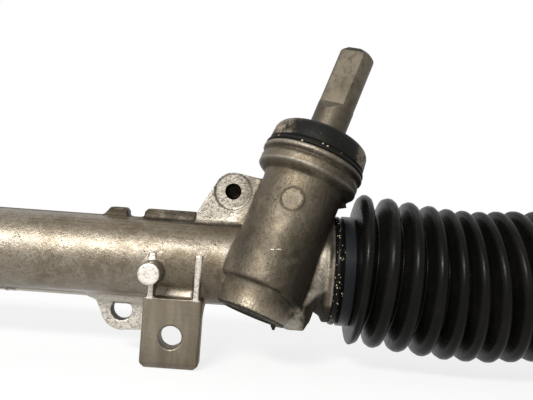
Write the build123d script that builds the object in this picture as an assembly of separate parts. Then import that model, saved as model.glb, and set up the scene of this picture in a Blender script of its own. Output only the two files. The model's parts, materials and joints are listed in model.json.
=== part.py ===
from build123d import *
import math
import os

# Rack-and-pinion steering rack with a leaning pinion tower. Millimetres, +Z up.
# X runs along the rack and Y to the rear of the vehicle. The datum is the middle of the two
# foot bolts, on the machined front face of the feet. Pieces are drawn in the rack's own frame,
# whose origin is the middle of the rack's axis, and moved to the datum when they are written.

# ---- layout ----
AXIS_SETBACK = 18.0          # rack axis behind the machined face of the feet
AXIS_HEIGHT = 31.0           # rack axis above the foot bolts
HOUSING_LENGTH = 426.0
FOOT_INSET = 77.0            # bolt of each foot from its end of the housing
PINION_INSET = 36.5          # pinion crossing from the housing's +X end
RACK_TRAVEL = 72.0           # each way from the middle
STOP_GAP = 1.5               # left between stop washer and housing at full travel
RUNNING = 0.05               # radial clearance of a running fit
SNUG = 0.03                  # radial clearance of a seated or threaded piece

# ---- gear mesh: rack teeth square to the rack, pinion helix equal to the lean ----
PINION_LEAN = 18.5           # degrees, toward +X
PINION_TILT = 14.5           # degrees, top toward the rear
MODULE = 2.0
PINION_TEETH = 7
PRESSURE_ANGLE = 20.0
PROFILE_SHIFT = 0.5          # in modules
BACKLASH = 0.3
PINION_TIP_D = 19.6
PINION_ROOT_D = 12.4
GEAR_WIDTH = 28.0            # toothed length of the pinion
FLANK_POINTS = 4

# ---- rack bar ----
RACK_D = 24.0
RACK_TIP_HEIGHT = 9.2        # tooth tips above the rack axis
RACK_ADDENDUM = 1.6
RACK_DEDENDUM = 1.85
TOOTHED_MARGIN = 10.0        # teeth beyond the pinion at full travel
RACK_THREAD_D = 14.0
RACK_THREAD_DEPTH = 22.0

# ---- housing tube ----
TUBE_D = 35.2
RACK_BORE_D = 27.0
SEAT_D = 42.0                # boot seat at each end
SEAT_LENGTH = 10.8
SEAT_GROOVE_DEPTH = 1.0
SEAT_GROOVE_WIDTH = 3.0
LIP_D = 46.0
LIP_WIDTH = 2.6
FLARE_LENGTH = 10.0          # cone from the tube up to the lip
SEAM_WIDTH = 3.0             # parting-line ledge under the tube
SEAM_REACH = 1.3

# ---- pinion tower, heights along the pinion axis from the mesh ----
BASE_D = 30.0
BASE_END = -24.5
BARREL_D = 35.2
BARREL_START = -12.8
COLLAR_D = 45.6
COLLAR_START = 37.2
COLLAR_FLARE = 3.8
RIM_WIDTH = 2.4              # band round the collar's top
COVE_DEPTH = 0.8             # shallow cove under the rim
COVE_WIDTH = 1.8
TOWER_TOP = 46.4
PAD_D = 9.4                  # round ejector pad on the barrel
PAD_HEIGHT = 23.3
PAD_TURN = 175.0             # degrees about the pinion axis, from the rack side
PAD_PROUD = 0.5
MESH_BORE_D = 21.4

# ---- pinion bearings, seal and cap ----
BEARING_BORE_D = 17.0
BEARING_OD = 30.0
BEARING_WIDTH = 7.0
BEARING_FLOOR = 31.5
RING_WALL = 2.1
BALL_D = 3.8
BALL_COUNT = 9
CAGE_WIDTH = 5.0
CAGE_WALL = 1.0
CAGE_SPIN_SHARE = 0.4        # cage turns per pinion turn
NEEDLE_OD = 17.0
NEEDLE_ID = 12.0
NEEDLE_LENGTH = 6.2
NEEDLE_FLOOR = -15.2
END_PLUG_D = 22.0
END_PLUG_THICKNESS = 2.0
END_PLUG_RECESS = 0.8
NUT_D = 37.0
NUT_HEIGHT = 5.4
NUT_NOSE_D = 29.0
NUT_BORE_D = 21.0
SEAL_D = 27.0
SEAL_HEIGHT = 4.6
CAP_D = 44.6
CAP_HEIGHT = 11.6
CAP_TOP_D = 40.0
CAP_WALL = 2.2
CAP_LIP = 1.5                # lip that lies on the collar's rim
CAP_GROOVE = 1.3

# ---- pinion shaft ----
SHAFT_D = 16.2
SHAFT_TOP = 102.4
SHAFT_CHAMFER = 1.4
SHAFT_SHOULDER_D = 20.0
SHAFT_BODY_D = 15.0
SEAL_TRACK_D = 16.6          # ground length under the seal and cap lips
STEP_MARGIN = 0.5            # from the flat's full depth to the clamping length
JOURNAL_CLEAR = 0.4          # between journal end and end plug
FLAT_START = 70.0
FLAT_DEPTH = 2.0
FLAT_RUNOUT = 4.0
FLAT_TURN = 157.0            # degrees about the pinion axis, from the rack side
CIRCLIP_WIDTH = 1.1
CIRCLIP_D = 20.4
CIRCLIP_GROOVE = 0.9

# ---- rack guide barrel, distances along the guide axis from the rack axis ----
GUIDE_BARREL_D = 38.0
GUIDE_BARREL_END = 38.0
GUIDE_D = 26.0
GUIDE_START = 6.5
GUIDE_END = 27.0
LINER_THICKNESS = 0.5
O_RING_D = 1.9
O_RING_AT = 20.5
DISC_SPRING_THICKNESS = 0.8
DISC_SPRING_RISE = 0.45
GUIDE_PLUG_D = 29.0
GUIDE_PLUG_START = 29.9
GUIDE_PLUG_END = 45.5
PLUG_SOCKET_AF = 14.0
PLUG_SOCKET_DEPTH = 7.0
LOCK_NUT_AF = 36.0
LOCK_NUT_HEIGHT = 6.0

# ---- ears, feet and ribs ----
FOOT_WIDTH = 24.8
FOOT_TOP = -15.0
FOOT_BOTTOM = -44.3
FOOT_THICKNESS = 8.0
FOOT_CHAMFER = 2.0
FOOT_HOLE_D = 9.4
FOOT_HOLE_CHAMFER = 0.5
FIN_THICKNESS = 2.3
FIN_TOP = 3.8
FIN_INSET = 1.6              # fin side to the foot's side
EAR_HOLE_D = 9.4
EAR_HOLE_AT = (-24.2, -23.6)     # from the foot's middle and the rack axis
EAR_R = 9.0
EAR_FRONT = -3.0
EAR_THICKNESS = 7.0
LUG_HOLE_D = 7.0             # tapped hole of the upper ear
LUG_HOLE_AT = (-19.2, 31.6)      # from the pinion crossing and the rack axis
LUG_R = 8.4
LUG_FRONT = -5.0
LUG_THICKNESS = 13.0
LUG_HOLE_DEPTH = 11.0        # the tapped hole is blind
LUG_SPOT_D = 16.6            # spot face round the tapped hole
LUG_SPOT_DEPTH = 0.4
END_WEB_FRONT = -6.0         # web between the tower and the lip at its end
END_WEB_THICKNESS = 6.0
STUD_D = 9.0                 # round cast boss beside the foot
STUD_AT = (-9.0, -4.0)           # from the foot's middle and the rack axis
STUD_FRONT = -28.6
TOP_RIB_THICKNESS = 5.0
TOP_RIB_RISE = 3.9
TOP_RIB_SPAN = (-17.2, 5.0)      # from the foot's middle
BUMP_SPAN = (-34.8, -24.2)       # from the foot's middle
BUMP_THICKNESS = 7.0
BUMP_RISE = 3.7
TOE_AT = (8.4, -21.2)            # near corner of the rounded toe under the tower, from the crossing
TOE_WIDTH = 5.6                  # between its corners
TOE_R = 3.4
TOE_FRONT = -17.0
TOE_BACK = -5.0

# ---- rack bush at the far end ----
BUSH_OD = 30.0
BUSH_LENGTH = 22.0
BUSH_INSET = 12.0            # bush from the housing's end
SNAP_RING_D = 31.6
SNAP_RING_WIDTH = 1.4

# ---- inner ball joints and tie rods ----
STOP_WASHER_D = 30.0
STOP_WASHER_THICKNESS = 1.5
JOINT_D = 33.0
JOINT_FRONT = 16.0           # joint face to ball centre
JOINT_REACH = 6.2            # ball centre to the mouth's edge
JOINT_FLAT_AF = 30.0
BALL_JOINT_D = 22.0
LINER_GAP = 0.3
BALL_LINER_WALL = 1.3
LINER_MOUTH = 53.0           # half angle of the liner's mouth, degrees
NECK_D = 13.0
ROD_D = 15.0
ROD_LENGTH = 256.0           # ball centre to the rod's end
ROD_THREAD_D = 14.0
ROD_THREAD_LENGTH = 62.0
ENGAGED_THREAD_D = 13.0      # both threads where a nut sits, at their pitch diameter
ENGAGED_MARGIN = 0.5
ROD_FLAT_AF = 13.0
ROD_FLAT_LENGTH = 14.0
JAM_NUT_AF = 22.0
JAM_NUT_HEIGHT = 9.0
JAM_NUT_INSET = 44.0         # jam nut from the rod's end

# ---- boots ----
BOOT_D = 66.0
BOOT_VALLEY_D = 49.0
BOOT_WALL = 1.5
BOOT_CRESTS = 17
BOOT_PITCH = 9.2
BOOT_FIRST_CREST = 1.5       # from the housing's end
BOOT_CREST_FLAT = 2.4
CUFF_WALL = 2.0
BAND_WIDTH = 4.4
BAND_INSET = 2.6             # band to the housing's end
BAND_THICKNESS = 1.0
NECK_LENGTH = 12.0
NECK_WALL = 1.8
CLIP_WIRE = 1.8

# ---- worked out ----
HOUSING_END = HOUSING_LENGTH / 2
FOOT_X = HOUSING_END - FOOT_INSET
PINION_X = HOUSING_END - PINION_INSET     # where pinion and rack axes cross, seen from the front
TUBE_R = TUBE_D / 2
RACK_R = RACK_D / 2
LIP_AT = HOUSING_END - SEAT_LENGTH - LIP_WIDTH
RACK_END = HOUSING_END + RACK_TRAVEL + STOP_GAP
JOINT_FACE = RACK_END + STOP_WASHER_THICKNESS
BALL_X = JOINT_FACE + JOINT_FRONT
LEAN = math.radians(PINION_LEAN)
TILT = math.radians(PINION_TILT)
PITCH_R = MODULE * PINION_TEETH / (2 * math.cos(LEAN))
RACK_PITCH_HEIGHT = RACK_TIP_HEIGHT - RACK_ADDENDUM
CENTRE_DISTANCE = RACK_PITCH_HEIGHT + PITCH_R + PROFILE_SHIFT * MODULE
TRAVEL_PER_RADIAN = PITCH_R * math.cos(LEAN)

TO_RACK = Vector(0, math.cos(TILT), -math.sin(TILT))
UP_SHAFT = Vector(math.sin(LEAN), math.cos(LEAN) * math.sin(TILT), math.cos(LEAN) * math.cos(TILT))
CROSSING = Vector(PINION_X, 0, 0)
PINION = Plane(CROSSING - TO_RACK * CENTRE_DISTANCE, x_dir=TO_RACK, z_dir=UP_SHAFT).location
GUIDE = Plane(CROSSING, x_dir=(1, 0, 0), z_dir=TO_RACK).location
ALONG_X = Plane((0, 0, 0), x_dir=(0, 1, 0), z_dir=(1, 0, 0)).location
DATUM = Pos(0, AXIS_SETBACK, AXIS_HEIGHT)


# ---- shape helpers ----
def outline(points):
    """Face inside a closed run of straight lines."""
    return make_face(Polyline(*points, close=True))


def turned(points):
    """Solid turned about Z from (radius, height) corners."""
    return revolve(Plane.XZ * outline(points), Axis.Z)


def rod(diameter, low, high):
    """Round bar about Z between two heights."""
    return Pos(0, 0, low) * Cylinder(diameter / 2, high - low, align=(Align.CENTER, Align.CENTER, Align.MIN))


def ring(outer, inner, low, high):
    """Plain ring about Z between two heights."""
    return rod(outer, low, high) - rod(inner, low, high)


def slab(face, front, back):
    """An XZ outline made solid from y = front to y = back."""
    return Pos(0, back, 0) * extrude(Plane.XZ * face, back - front)


def web(points, middle, thickness):
    """A (y, z) outline made solid across X."""
    return Pos(middle - thickness / 2, 0, 0) * extrude(Plane.YZ * outline(points), thickness)


def peg(diameter, at, front, back):
    """Round bar along Y at (x, z)."""
    return slab(Pos(*at) * Circle(diameter / 2), front, back)


def hexagon(across_flats, low, high):
    """Hexagonal bar about Z."""
    face = RegularPolygon(across_flats / 2, 6, major_radius=False)
    return Pos(0, 0, low) * extrude(face, high - low)


# ---- housing ----
def tube_body():
    """The long tube with a lip and a boot seat turned at each end."""
    flare = LIP_AT - FLARE_LENGTH
    end = [
        (TUBE_R, flare),
        (LIP_D / 2, LIP_AT),
        (LIP_D / 2, LIP_AT + LIP_WIDTH),
        (SEAT_D / 2, LIP_AT + LIP_WIDTH),
        (SEAT_D / 2, HOUSING_END - 2 * SEAT_GROOVE_WIDTH),
        (SEAT_D / 2 - SEAT_GROOVE_DEPTH, HOUSING_END - 2 * SEAT_GROOVE_WIDTH),
        (SEAT_D / 2 - SEAT_GROOVE_DEPTH, HOUSING_END - SEAT_GROOVE_WIDTH),
        (SEAT_D / 2, HOUSING_END - SEAT_GROOVE_WIDTH),
        (SEAT_D / 2, HOUSING_END - SEAT_GROOVE_DEPTH),
        (SEAT_D / 2 - SEAT_GROOVE_DEPTH, HOUSING_END),
    ]
    far = [(radius, -x) for radius, x in reversed(end)]
    return ALONG_X * turned([(0, -HOUSING_END)] + far + end + [(0, HOUSING_END)])


def seam():
    """Parting-line ledge left by the casting die under the tube."""
    length = 2 * (LIP_AT - FLARE_LENGTH)
    depth = TUBE_R + SEAM_REACH
    return Pos(0, 0, -depth / 2) * Box(length, SEAM_WIDTH, depth)


def tower_body():
    """Stepped barrel of the pinion tower, with its collar and ejector pad."""
    edge = 0.8
    cove_top = TOWER_TOP - RIM_WIDTH
    barrel = turned([
        (0, BASE_END),
        (BASE_D / 2 - edge, BASE_END),
        (BASE_D / 2, BASE_END + edge),
        (BASE_D / 2, BARREL_START),
        (BARREL_D / 2 - edge, BARREL_START),
        (BARREL_D / 2, BARREL_START + edge),
        (BARREL_D / 2, COLLAR_START - COLLAR_FLARE),
        (BARREL_D / 2 + edge, COLLAR_START - COLLAR_FLARE / 2),
        (COLLAR_D / 2 - 3 * edge, COLLAR_START - edge),
        (COLLAR_D / 2 - 2 * edge, COLLAR_START),
        (COLLAR_D / 2 - edge, COLLAR_START + edge),
        (COLLAR_D / 2 - COVE_DEPTH / 2, cove_top - COVE_WIDTH),
        (COLLAR_D / 2 - COVE_DEPTH, cove_top - COVE_WIDTH / 2),
        (COLLAR_D / 2, cove_top),
        (COLLAR_D / 2, TOWER_TOP - edge),
        (COLLAR_D / 2 - edge, TOWER_TOP),
        (0, TOWER_TOP),
    ])
    reach = BARREL_D / 2 + PAD_PROUD
    pad = Rot(0, 0, PAD_TURN) * Pos(0, 0, PAD_HEIGHT) * Rot(0, 90, 0) * rod(PAD_D, 0, reach)
    return PINION * (barrel + pad)


def guide_barrel():
    """Short barrel behind the rack that holds the spring-loaded guide."""
    edge = 1.0
    return GUIDE * turned([
        (0, 0),
        (GUIDE_BARREL_D / 2, 0),
        (GUIDE_BARREL_D / 2, GUIDE_BARREL_END - edge),
        (GUIDE_BARREL_D / 2 - edge, GUIDE_BARREL_END),
        (0, GUIDE_BARREL_END),
    ])


def foot():
    """Machined bolting foot hung under the tube, with two fins up the front of the tube."""
    front, back = -AXIS_SETBACK, FOOT_THICKNESS - AXIS_SETBACK
    side = web([
        (front, FOOT_TOP),
        (front, FOOT_BOTTOM + FOOT_CHAMFER),
        (front + FOOT_CHAMFER / 2, FOOT_BOTTOM),
        (back, FOOT_BOTTOM),
        (back, FOOT_TOP - FOOT_THICKNESS),
        (0, -TUBE_R),
        (0, FOOT_TOP),
    ], FOOT_X, FOOT_WIDTH)
    half = FOOT_WIDTH / 2
    trim = slab(outline([
        (FOOT_X - half, 0),
        (FOOT_X - half, FOOT_BOTTOM + FOOT_CHAMFER),
        (FOOT_X - half + FOOT_CHAMFER, FOOT_BOTTOM),
        (FOOT_X + half - FOOT_CHAMFER, FOOT_BOTTOM),
        (FOOT_X + half, FOOT_BOTTOM + FOOT_CHAMFER),
        (FOOT_X + half, 0),
    ]), front, TUBE_R)
    fin_profile = [(front, FOOT_TOP - 1), (front, FIN_TOP), (0, FIN_TOP), (0, FOOT_TOP - 1)]
    fin_offset = half - FIN_INSET - FIN_THICKNESS / 2
    fins = [web(fin_profile, FOOT_X + sign * fin_offset, FIN_THICKNESS) for sign in (-1, 1)]
    return (side & trim) + fins[0] + fins[1]


def foot_hole():
    """Bolt hole through the foot, with a small chamfer in front."""
    front = -AXIS_SETBACK
    mouth = FOOT_HOLE_D / 2 + FOOT_HOLE_CHAMFER
    bore = rod(FOOT_HOLE_D, -1, FOOT_THICKNESS + 1)
    chamfer = turned([(0, -0.01), (mouth, -0.01), (mouth - FOOT_HOLE_CHAMFER, FOOT_HOLE_CHAMFER), (0, FOOT_HOLE_CHAMFER)])
    return Pos(FOOT_X, front, -AXIS_HEIGHT) * Rot(-90, 0, 0) * (bore + chamfer)


def lower_ear():
    """Flat cast ear beside the foot, at mid depth under the tube."""
    x, z = FOOT_X + EAR_HOLE_AT[0], EAR_HOLE_AT[1]
    root = outline([
        (x - EAR_R - 3, -TUBE_R + 3),
        (x - EAR_R - 3, -TUBE_R - 1.6),
        (FOOT_X - FOOT_WIDTH / 2 + 2, z - EAR_R + 1),
        (FOOT_X - FOOT_WIDTH / 2 + 2, -TUBE_R + 3),
    ])
    face = make_hull((root + Pos(x, z) * Circle(EAR_R)).edges())
    return slab(face, EAR_FRONT, EAR_FRONT + EAR_THICKNESS)


def upper_ear():
    """Flat web between tube and tower that carries the tapped ear."""
    x, z = PINION_X + LUG_HOLE_AT[0], LUG_HOLE_AT[1]
    root = outline([
        (x - LUG_R - 8.0, TUBE_R - 4),
        (x - LUG_R - 7.0, TUBE_R + 3.5),
        (x + LUG_R + 6.0, z + LUG_R - 2.4),
        (PINION_X + 8, TUBE_R - 4),
    ])
    face = make_hull((root + Pos(x, z) * Circle(LUG_R)).edges())
    return slab(face, LUG_FRONT, LUG_FRONT + LUG_THICKNESS)


def end_web():
    """Web behind the tower's flank, from under its collar down to the lip at the housing's end."""
    inner = LIP_AT - 5.5
    outer = HOUSING_END - SEAT_LENGTH + 5.0
    clear = LIP_D / 2 + 4.0
    face = outline([
        (inner, LIP_D / 2 - 7.0),
        (LIP_AT + LIP_WIDTH, LIP_D / 2 - 1.0),
        (LIP_AT + LIP_WIDTH, clear),
        (outer, clear + 1.0),
        (outer, clear + 4.0),
        (outer - 1.5, clear + 8.0),
        (inner, clear + 9.5),
    ])
    return slab(face, END_WEB_FRONT, END_WEB_FRONT + END_WEB_THICKNESS)


def top_ribs():
    """Low rib and bump on the top line of the tube."""
    left, right = (FOOT_X + span for span in TOP_RIB_SPAN)
    rib = outline([
        (left, TUBE_R - 3),
        (left, TUBE_R + TOP_RIB_RISE - 1.5),
        (left + 1.5, TUBE_R + TOP_RIB_RISE),
        (right, TUBE_R + TOP_RIB_RISE),
        (right, TUBE_R - 3),
    ])
    start, stop = (FOOT_X + span for span in BUMP_SPAN)
    bump = outline([
        (start, TUBE_R - 3),
        (start, TUBE_R + 0.3),
        (start + 3.0, TUBE_R + BUMP_RISE),
        (stop - 1.2, TUBE_R + BUMP_RISE),
        (stop, TUBE_R + BUMP_RISE - 1.6),
        (stop, TUBE_R - 3),
    ])
    return slab(rib, -TOP_RIB_THICKNESS / 2, TOP_RIB_THICKNESS / 2) + slab(
        bump, -BUMP_THICKNESS / 2, BUMP_THICKNESS / 2)


def stud():
    """Round cast boss that stands out of the front of the tube."""
    return peg(STUD_D, (FOOT_X + STUD_AT[0], STUD_AT[1]), STUD_FRONT, 0)


def toe():
    """Rounded cast toe and its web, between the tower's base and the end flare."""
    x, z = PINION_X + TOE_AT[0], TOE_AT[1]
    root = outline([(x - TOE_R, -6), (x - TOE_R, z), (x + TOE_WIDTH + TOE_R, z), (x + TOE_WIDTH + 8, -6)])
    corners = Pos(x, z) * Circle(TOE_R) + Pos(x + TOE_WIDTH, z) * Circle(TOE_R)
    face = make_hull((root + corners).edges())
    return slab(face, TOE_FRONT, TOE_BACK)


def housing_bores():
    """Everything that is machined out of the casting."""
    rack_bore = ALONG_X * rod(RACK_BORE_D, -HOUSING_END - 1, HOUSING_END + 1)
    bush_seat = ALONG_X * rod(BUSH_OD + 2 * SNUG, -HOUSING_END - 1, BUSH_LENGTH + BUSH_INSET - HOUSING_END)
    snap_low = BUSH_INSET - HOUSING_END - SNAP_RING_WIDTH
    snap_groove = ALONG_X * rod(SNAP_RING_D, snap_low - 2 * SNUG, snap_low + SNAP_RING_WIDTH)
    plug_floor = BASE_END + END_PLUG_RECESS + END_PLUG_THICKNESS
    shaft_bores = [
        rod(MESH_BORE_D, NEEDLE_FLOOR, BEARING_FLOOR + 1),
        rod(NEEDLE_OD + 2 * SNUG, plug_floor - 1, NEEDLE_FLOOR + 1),
        rod(END_PLUG_D + 2 * SNUG, BASE_END - 1, plug_floor),
        rod(BEARING_OD + 2 * SNUG, BEARING_FLOOR, TOWER_TOP),
        rod(NUT_D + 2 * SNUG, TOWER_TOP - NUT_HEIGHT - 1, TOWER_TOP + 1),
    ]
    guide_bores = [
        rod(GUIDE_D + 2 * RUNNING, 0, GUIDE_BARREL_END),
        rod(GUIDE_PLUG_D + 2 * SNUG, GUIDE_PLUG_START - 0.4, GUIDE_BARREL_END + 1),
    ]
    ear_hole = peg(EAR_HOLE_D, (FOOT_X + EAR_HOLE_AT[0], EAR_HOLE_AT[1]), EAR_FRONT - 1, EAR_FRONT + EAR_THICKNESS + 1)
    lug_at = (PINION_X + LUG_HOLE_AT[0], LUG_HOLE_AT[1])
    lug_hole = peg(LUG_HOLE_D, lug_at, LUG_FRONT - 1, LUG_FRONT + LUG_HOLE_DEPTH)
    lug_spot = peg(LUG_SPOT_D, lug_at, LUG_FRONT - 1, LUG_FRONT + LUG_SPOT_DEPTH)
    feet_holes = [foot_hole(), mirror(foot_hole(), Plane.YZ)]
    moved = [PINION * bore for bore in shaft_bores] + [GUIDE * bore for bore in guide_bores]
    return [rack_bore, bush_seat, snap_groove, ear_hole, lug_hole, lug_spot] + feet_holes + moved


def rack_housing():
    """The whole aluminium casting as one solid."""
    near_foot = foot()
    body = tube_body() + [
        seam(), tower_body(), guide_barrel(), near_foot, mirror(near_foot, Plane.YZ),
        lower_ear(), upper_ear(), end_web(), top_ribs(), stud(), toe(),
    ]
    return body - housing_bores()


# ---- rack bar and its mesh ----
def rack_bar():
    """Round bar with straight teeth across its front and a threaded hole in each end."""
    bar = ALONG_X * rod(RACK_D, -RACK_END, RACK_END)
    pitch = math.pi * MODULE
    slope = math.tan(math.radians(PRESSURE_ANGLE))
    half_gap = pitch / 4 + BACKLASH / 2
    top = half_gap + slope * (RACK_R - RACK_PITCH_HEIGHT)
    root = half_gap - slope * RACK_DEDENDUM
    gap = outline([(-top, RACK_R), (top, RACK_R), (root, RACK_PITCH_HEIGHT - RACK_DEDENDUM),
                   (-root, RACK_PITCH_HEIGHT - RACK_DEDENDUM)])
    each_way = round((RACK_TRAVEL + TOOTHED_MARGIN) / pitch)
    cutter = Box(pitch * (2 * each_way + 1) - 2 * root, RACK_D, RACK_D, align=(Align.CENTER, Align.CENTER, Align.MIN))
    cuts = [Pos(0, 0, RACK_TIP_HEIGHT) * cutter]
    tooth_gap = Pos(0, RACK_D / 2, 0) * extrude(Plane.XZ * gap, RACK_D)
    cuts += [Pos(i * pitch, 0, 0) * tooth_gap for i in range(-each_way, each_way + 1)]
    teeth_frame = Plane(CROSSING, x_dir=(1, 0, 0), z_dir=-TO_RACK).location
    hole = rod(RACK_THREAD_D + 2 * SNUG, RACK_END - RACK_THREAD_DEPTH, RACK_END + 1)
    holes = [ALONG_X * hole, mirror(ALONG_X * hole, Plane.YZ)]
    return bar - [teeth_frame * cut for cut in cuts] - holes


def involute_point(base_r, radius, half_angle):
    """Point on a flank, half_angle being the tooth's half angle at the base circle."""
    pressure = math.acos(base_r / radius)
    angle = half_angle - (math.tan(pressure) - pressure)
    return radius * math.cos(angle), radius * math.sin(angle)


def pinion_section():
    """Cross section of the helical pinion, one tooth pointing along +X."""
    transverse = math.atan(math.tan(math.radians(PRESSURE_ANGLE)) / math.cos(LEAN))
    base_r = PITCH_R * math.cos(transverse)
    normal_tooth = MODULE * (math.pi / 2 + 2 * PROFILE_SHIFT * math.tan(math.radians(PRESSURE_ANGLE)))
    half_at_pitch = normal_tooth / math.cos(LEAN) / (2 * PITCH_R)
    half_at_base = half_at_pitch + math.tan(transverse) - transverse
    tip_r = PINION_TIP_D / 2
    radii = [base_r + (tip_r - base_r) * step / FLANK_POINTS for step in range(FLANK_POINTS + 1)]
    upper = [involute_point(base_r, radius, half_at_base) for radius in radii]
    upper[0] = (base_r * math.cos(half_at_base), base_r * math.sin(half_at_base))
    root_half = half_at_base * 1.02
    root = (PINION_ROOT_D / 2 * math.cos(root_half), PINION_ROOT_D / 2 * math.sin(root_half))
    flank = [root] + upper
    lower = [(x, -y) for x, y in flank]
    tooth = lower + list(reversed(flank))
    points = []
    for index in range(PINION_TEETH):
        turn = 2 * math.pi * index / PINION_TEETH
        points += [(x * math.cos(turn) - y * math.sin(turn), x * math.sin(turn) + y * math.cos(turn))
                   for x, y in tooth]
    return points


def pinion_gear():
    """Toothed length of the pinion, twisted by its helix."""
    twist = math.degrees(GEAR_WIDTH * math.tan(LEAN) / PITCH_R)
    face = Rot(0, 0, -twist / 2) * outline(pinion_section())
    gear = Solid.extrude_linear_with_rotation(face.face(), (0, 0, 0), (0, 0, GEAR_WIDTH), twist)
    return Pos(0, 0, -GEAR_WIDTH / 2) * gear


def pinion_shaft():
    """Input shaft with journal, helical teeth, bearing seat and a flat for the column clamp."""
    seat_top = BEARING_FLOOR + BEARING_WIDTH
    clip_top = seat_top + CIRCLIP_WIDTH + 2 * SNUG
    clamp_low = FLAT_START + FLAT_RUNOUT + STEP_MARGIN
    journal_end = BASE_END + END_PLUG_RECESS + END_PLUG_THICKNESS + JOURNAL_CLEAR
    seat_r = BEARING_BORE_D / 2 - SNUG
    shaft = turned([
        (0, journal_end),
        (NEEDLE_ID / 2 - RUNNING, journal_end),
        (NEEDLE_ID / 2 - RUNNING, -GEAR_WIDTH / 2 + 0.2),
        (PINION_ROOT_D / 2 - 0.3, -GEAR_WIDTH / 2 + 0.2),
        (PINION_ROOT_D / 2 - 0.3, GEAR_WIDTH / 2),
        (SHAFT_BODY_D / 2, GEAR_WIDTH / 2 + 1.5),
        (SHAFT_BODY_D / 2, BEARING_FLOOR - 2.5),
        (SHAFT_SHOULDER_D / 2, BEARING_FLOOR - 2.5),
        (SHAFT_SHOULDER_D / 2, BEARING_FLOOR),
        (seat_r, BEARING_FLOOR),
        (seat_r, seat_top),
        (seat_r - CIRCLIP_GROOVE, seat_top),
        (seat_r - CIRCLIP_GROOVE, clip_top),
        (SEAL_TRACK_D / 2, clip_top),
        (SEAL_TRACK_D / 2, clamp_low - STEP_MARGIN / 2),
        (SHAFT_D / 2, clamp_low),
        (SHAFT_D / 2, SHAFT_TOP - SHAFT_CHAMFER),
        (SHAFT_D / 2 - SHAFT_CHAMFER, SHAFT_TOP),
        (0, SHAFT_TOP),
    ])
    return PINION * (shaft + pinion_gear() - clamp_flat())


def clamp_flat():
    """Flat milled on the shaft's top, with the cutter's round run-out at its foot."""
    floor = SHAFT_D / 2 - FLAT_DEPTH
    side = Plane.XZ * make_face([
        Line((floor, FLAT_START + FLAT_RUNOUT), (floor, SHAFT_TOP + 1)),
        Line((floor, SHAFT_TOP + 1), (SHAFT_D, SHAFT_TOP + 1)),
        Line((SHAFT_D, SHAFT_TOP + 1), (SHAFT_D, FLAT_START)),
        Line((SHAFT_D, FLAT_START), (SEAL_TRACK_D / 2, FLAT_START)),
        RadiusArc((SEAL_TRACK_D / 2, FLAT_START), (floor, FLAT_START + FLAT_RUNOUT), -2 * FLAT_RUNOUT),
    ])
    cutter = Pos(0, SHAFT_D / 2, 0) * extrude(side, SHAFT_D)
    return Rot(0, 0, FLAT_TURN) * cutter


# ---- pinion bearings, seal and cap ----
def bearing_pieces():
    """Deep-groove bearing as its two rings, its balls and its cage."""
    low, high = BEARING_FLOOR, BEARING_FLOOR + BEARING_WIDTH
    middle = (low + high) / 2
    inner_r = BEARING_BORE_D / 2 + RING_WALL
    outer_r = BEARING_OD / 2 - RING_WALL
    ball_circle = (inner_r + outer_r) / 2
    track = Pos(0, 0, middle) * Torus(ball_circle, BALL_D / 2 + RUNNING)
    inner = ring(2 * inner_r, BEARING_BORE_D, low, high) - track
    outer = ring(BEARING_OD, 2 * outer_r, low, high) - track
    spots = PolarLocations(ball_circle, BALL_COUNT)
    balls = [Pos(0, 0, middle) * spot * Sphere(BALL_D / 2) for spot in spots]
    pocket = Rot(0, 90, 0) * Cylinder(BALL_D / 2 + RUNNING, BALL_D)
    cage = ring(2 * ball_circle + CAGE_WALL, 2 * ball_circle - CAGE_WALL, middle - CAGE_WIDTH / 2, middle + CAGE_WIDTH / 2)
    cage -= [Pos(0, 0, middle) * spot * pocket for spot in spots]
    return PINION * inner, PINION * outer, [PINION * ball for ball in balls], PINION * cage


def shaft_circlip():
    """Ring in the shaft's groove, on top of the bearing's inner ring."""
    low = BEARING_FLOOR + BEARING_WIDTH + SNUG
    groove = BEARING_BORE_D - 2 * CIRCLIP_GROOVE
    gap = Pos(CIRCLIP_D / 2, 0, low) * Box(CIRCLIP_D, 3.0, 4 * CIRCLIP_WIDTH)
    return PINION * (ring(CIRCLIP_D, groove, low, low + CIRCLIP_WIDTH) - gap)


def needle_bush():
    """Drawn-cup bearing of the pinion's lower journal."""
    high = NEEDLE_FLOOR
    return PINION * ring(NEEDLE_OD, NEEDLE_ID, high - NEEDLE_LENGTH, high)


def end_plug():
    """Pressed cup that closes the bottom of the tower."""
    low = BASE_END + END_PLUG_RECESS
    cup = rod(END_PLUG_D, low, low + END_PLUG_THICKNESS)
    return PINION * (cup - rod(END_PLUG_D - 5, low - 1, low + END_PLUG_THICKNESS / 2))


def retaining_nut():
    """Ring nut in the collar, with a nose that holds the bearing's outer ring."""
    low = TOWER_TOP - NUT_HEIGHT - 1 + SNUG
    nose_low = BEARING_FLOOR + BEARING_WIDTH + SNUG
    top = TOWER_TOP - SNUG
    seal_floor = top - SEAL_HEIGHT
    body = turned([
        (NUT_BORE_D / 2, nose_low),
        (NUT_NOSE_D / 2, nose_low),
        (NUT_NOSE_D / 2, low),
        (NUT_D / 2, low),
        (NUT_D / 2, top),
        (SEAL_D / 2 + SNUG, top),
        (SEAL_D / 2 + SNUG, seal_floor),
        (NUT_BORE_D / 2, seal_floor),
    ])
    spots = [Pos(0, 0, top - 2) * spot for spot in PolarLocations((NUT_D + SEAL_D) / 4, 4)]
    return PINION * (body - [spot * Cylinder(1.4, 5) for spot in spots])


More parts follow.
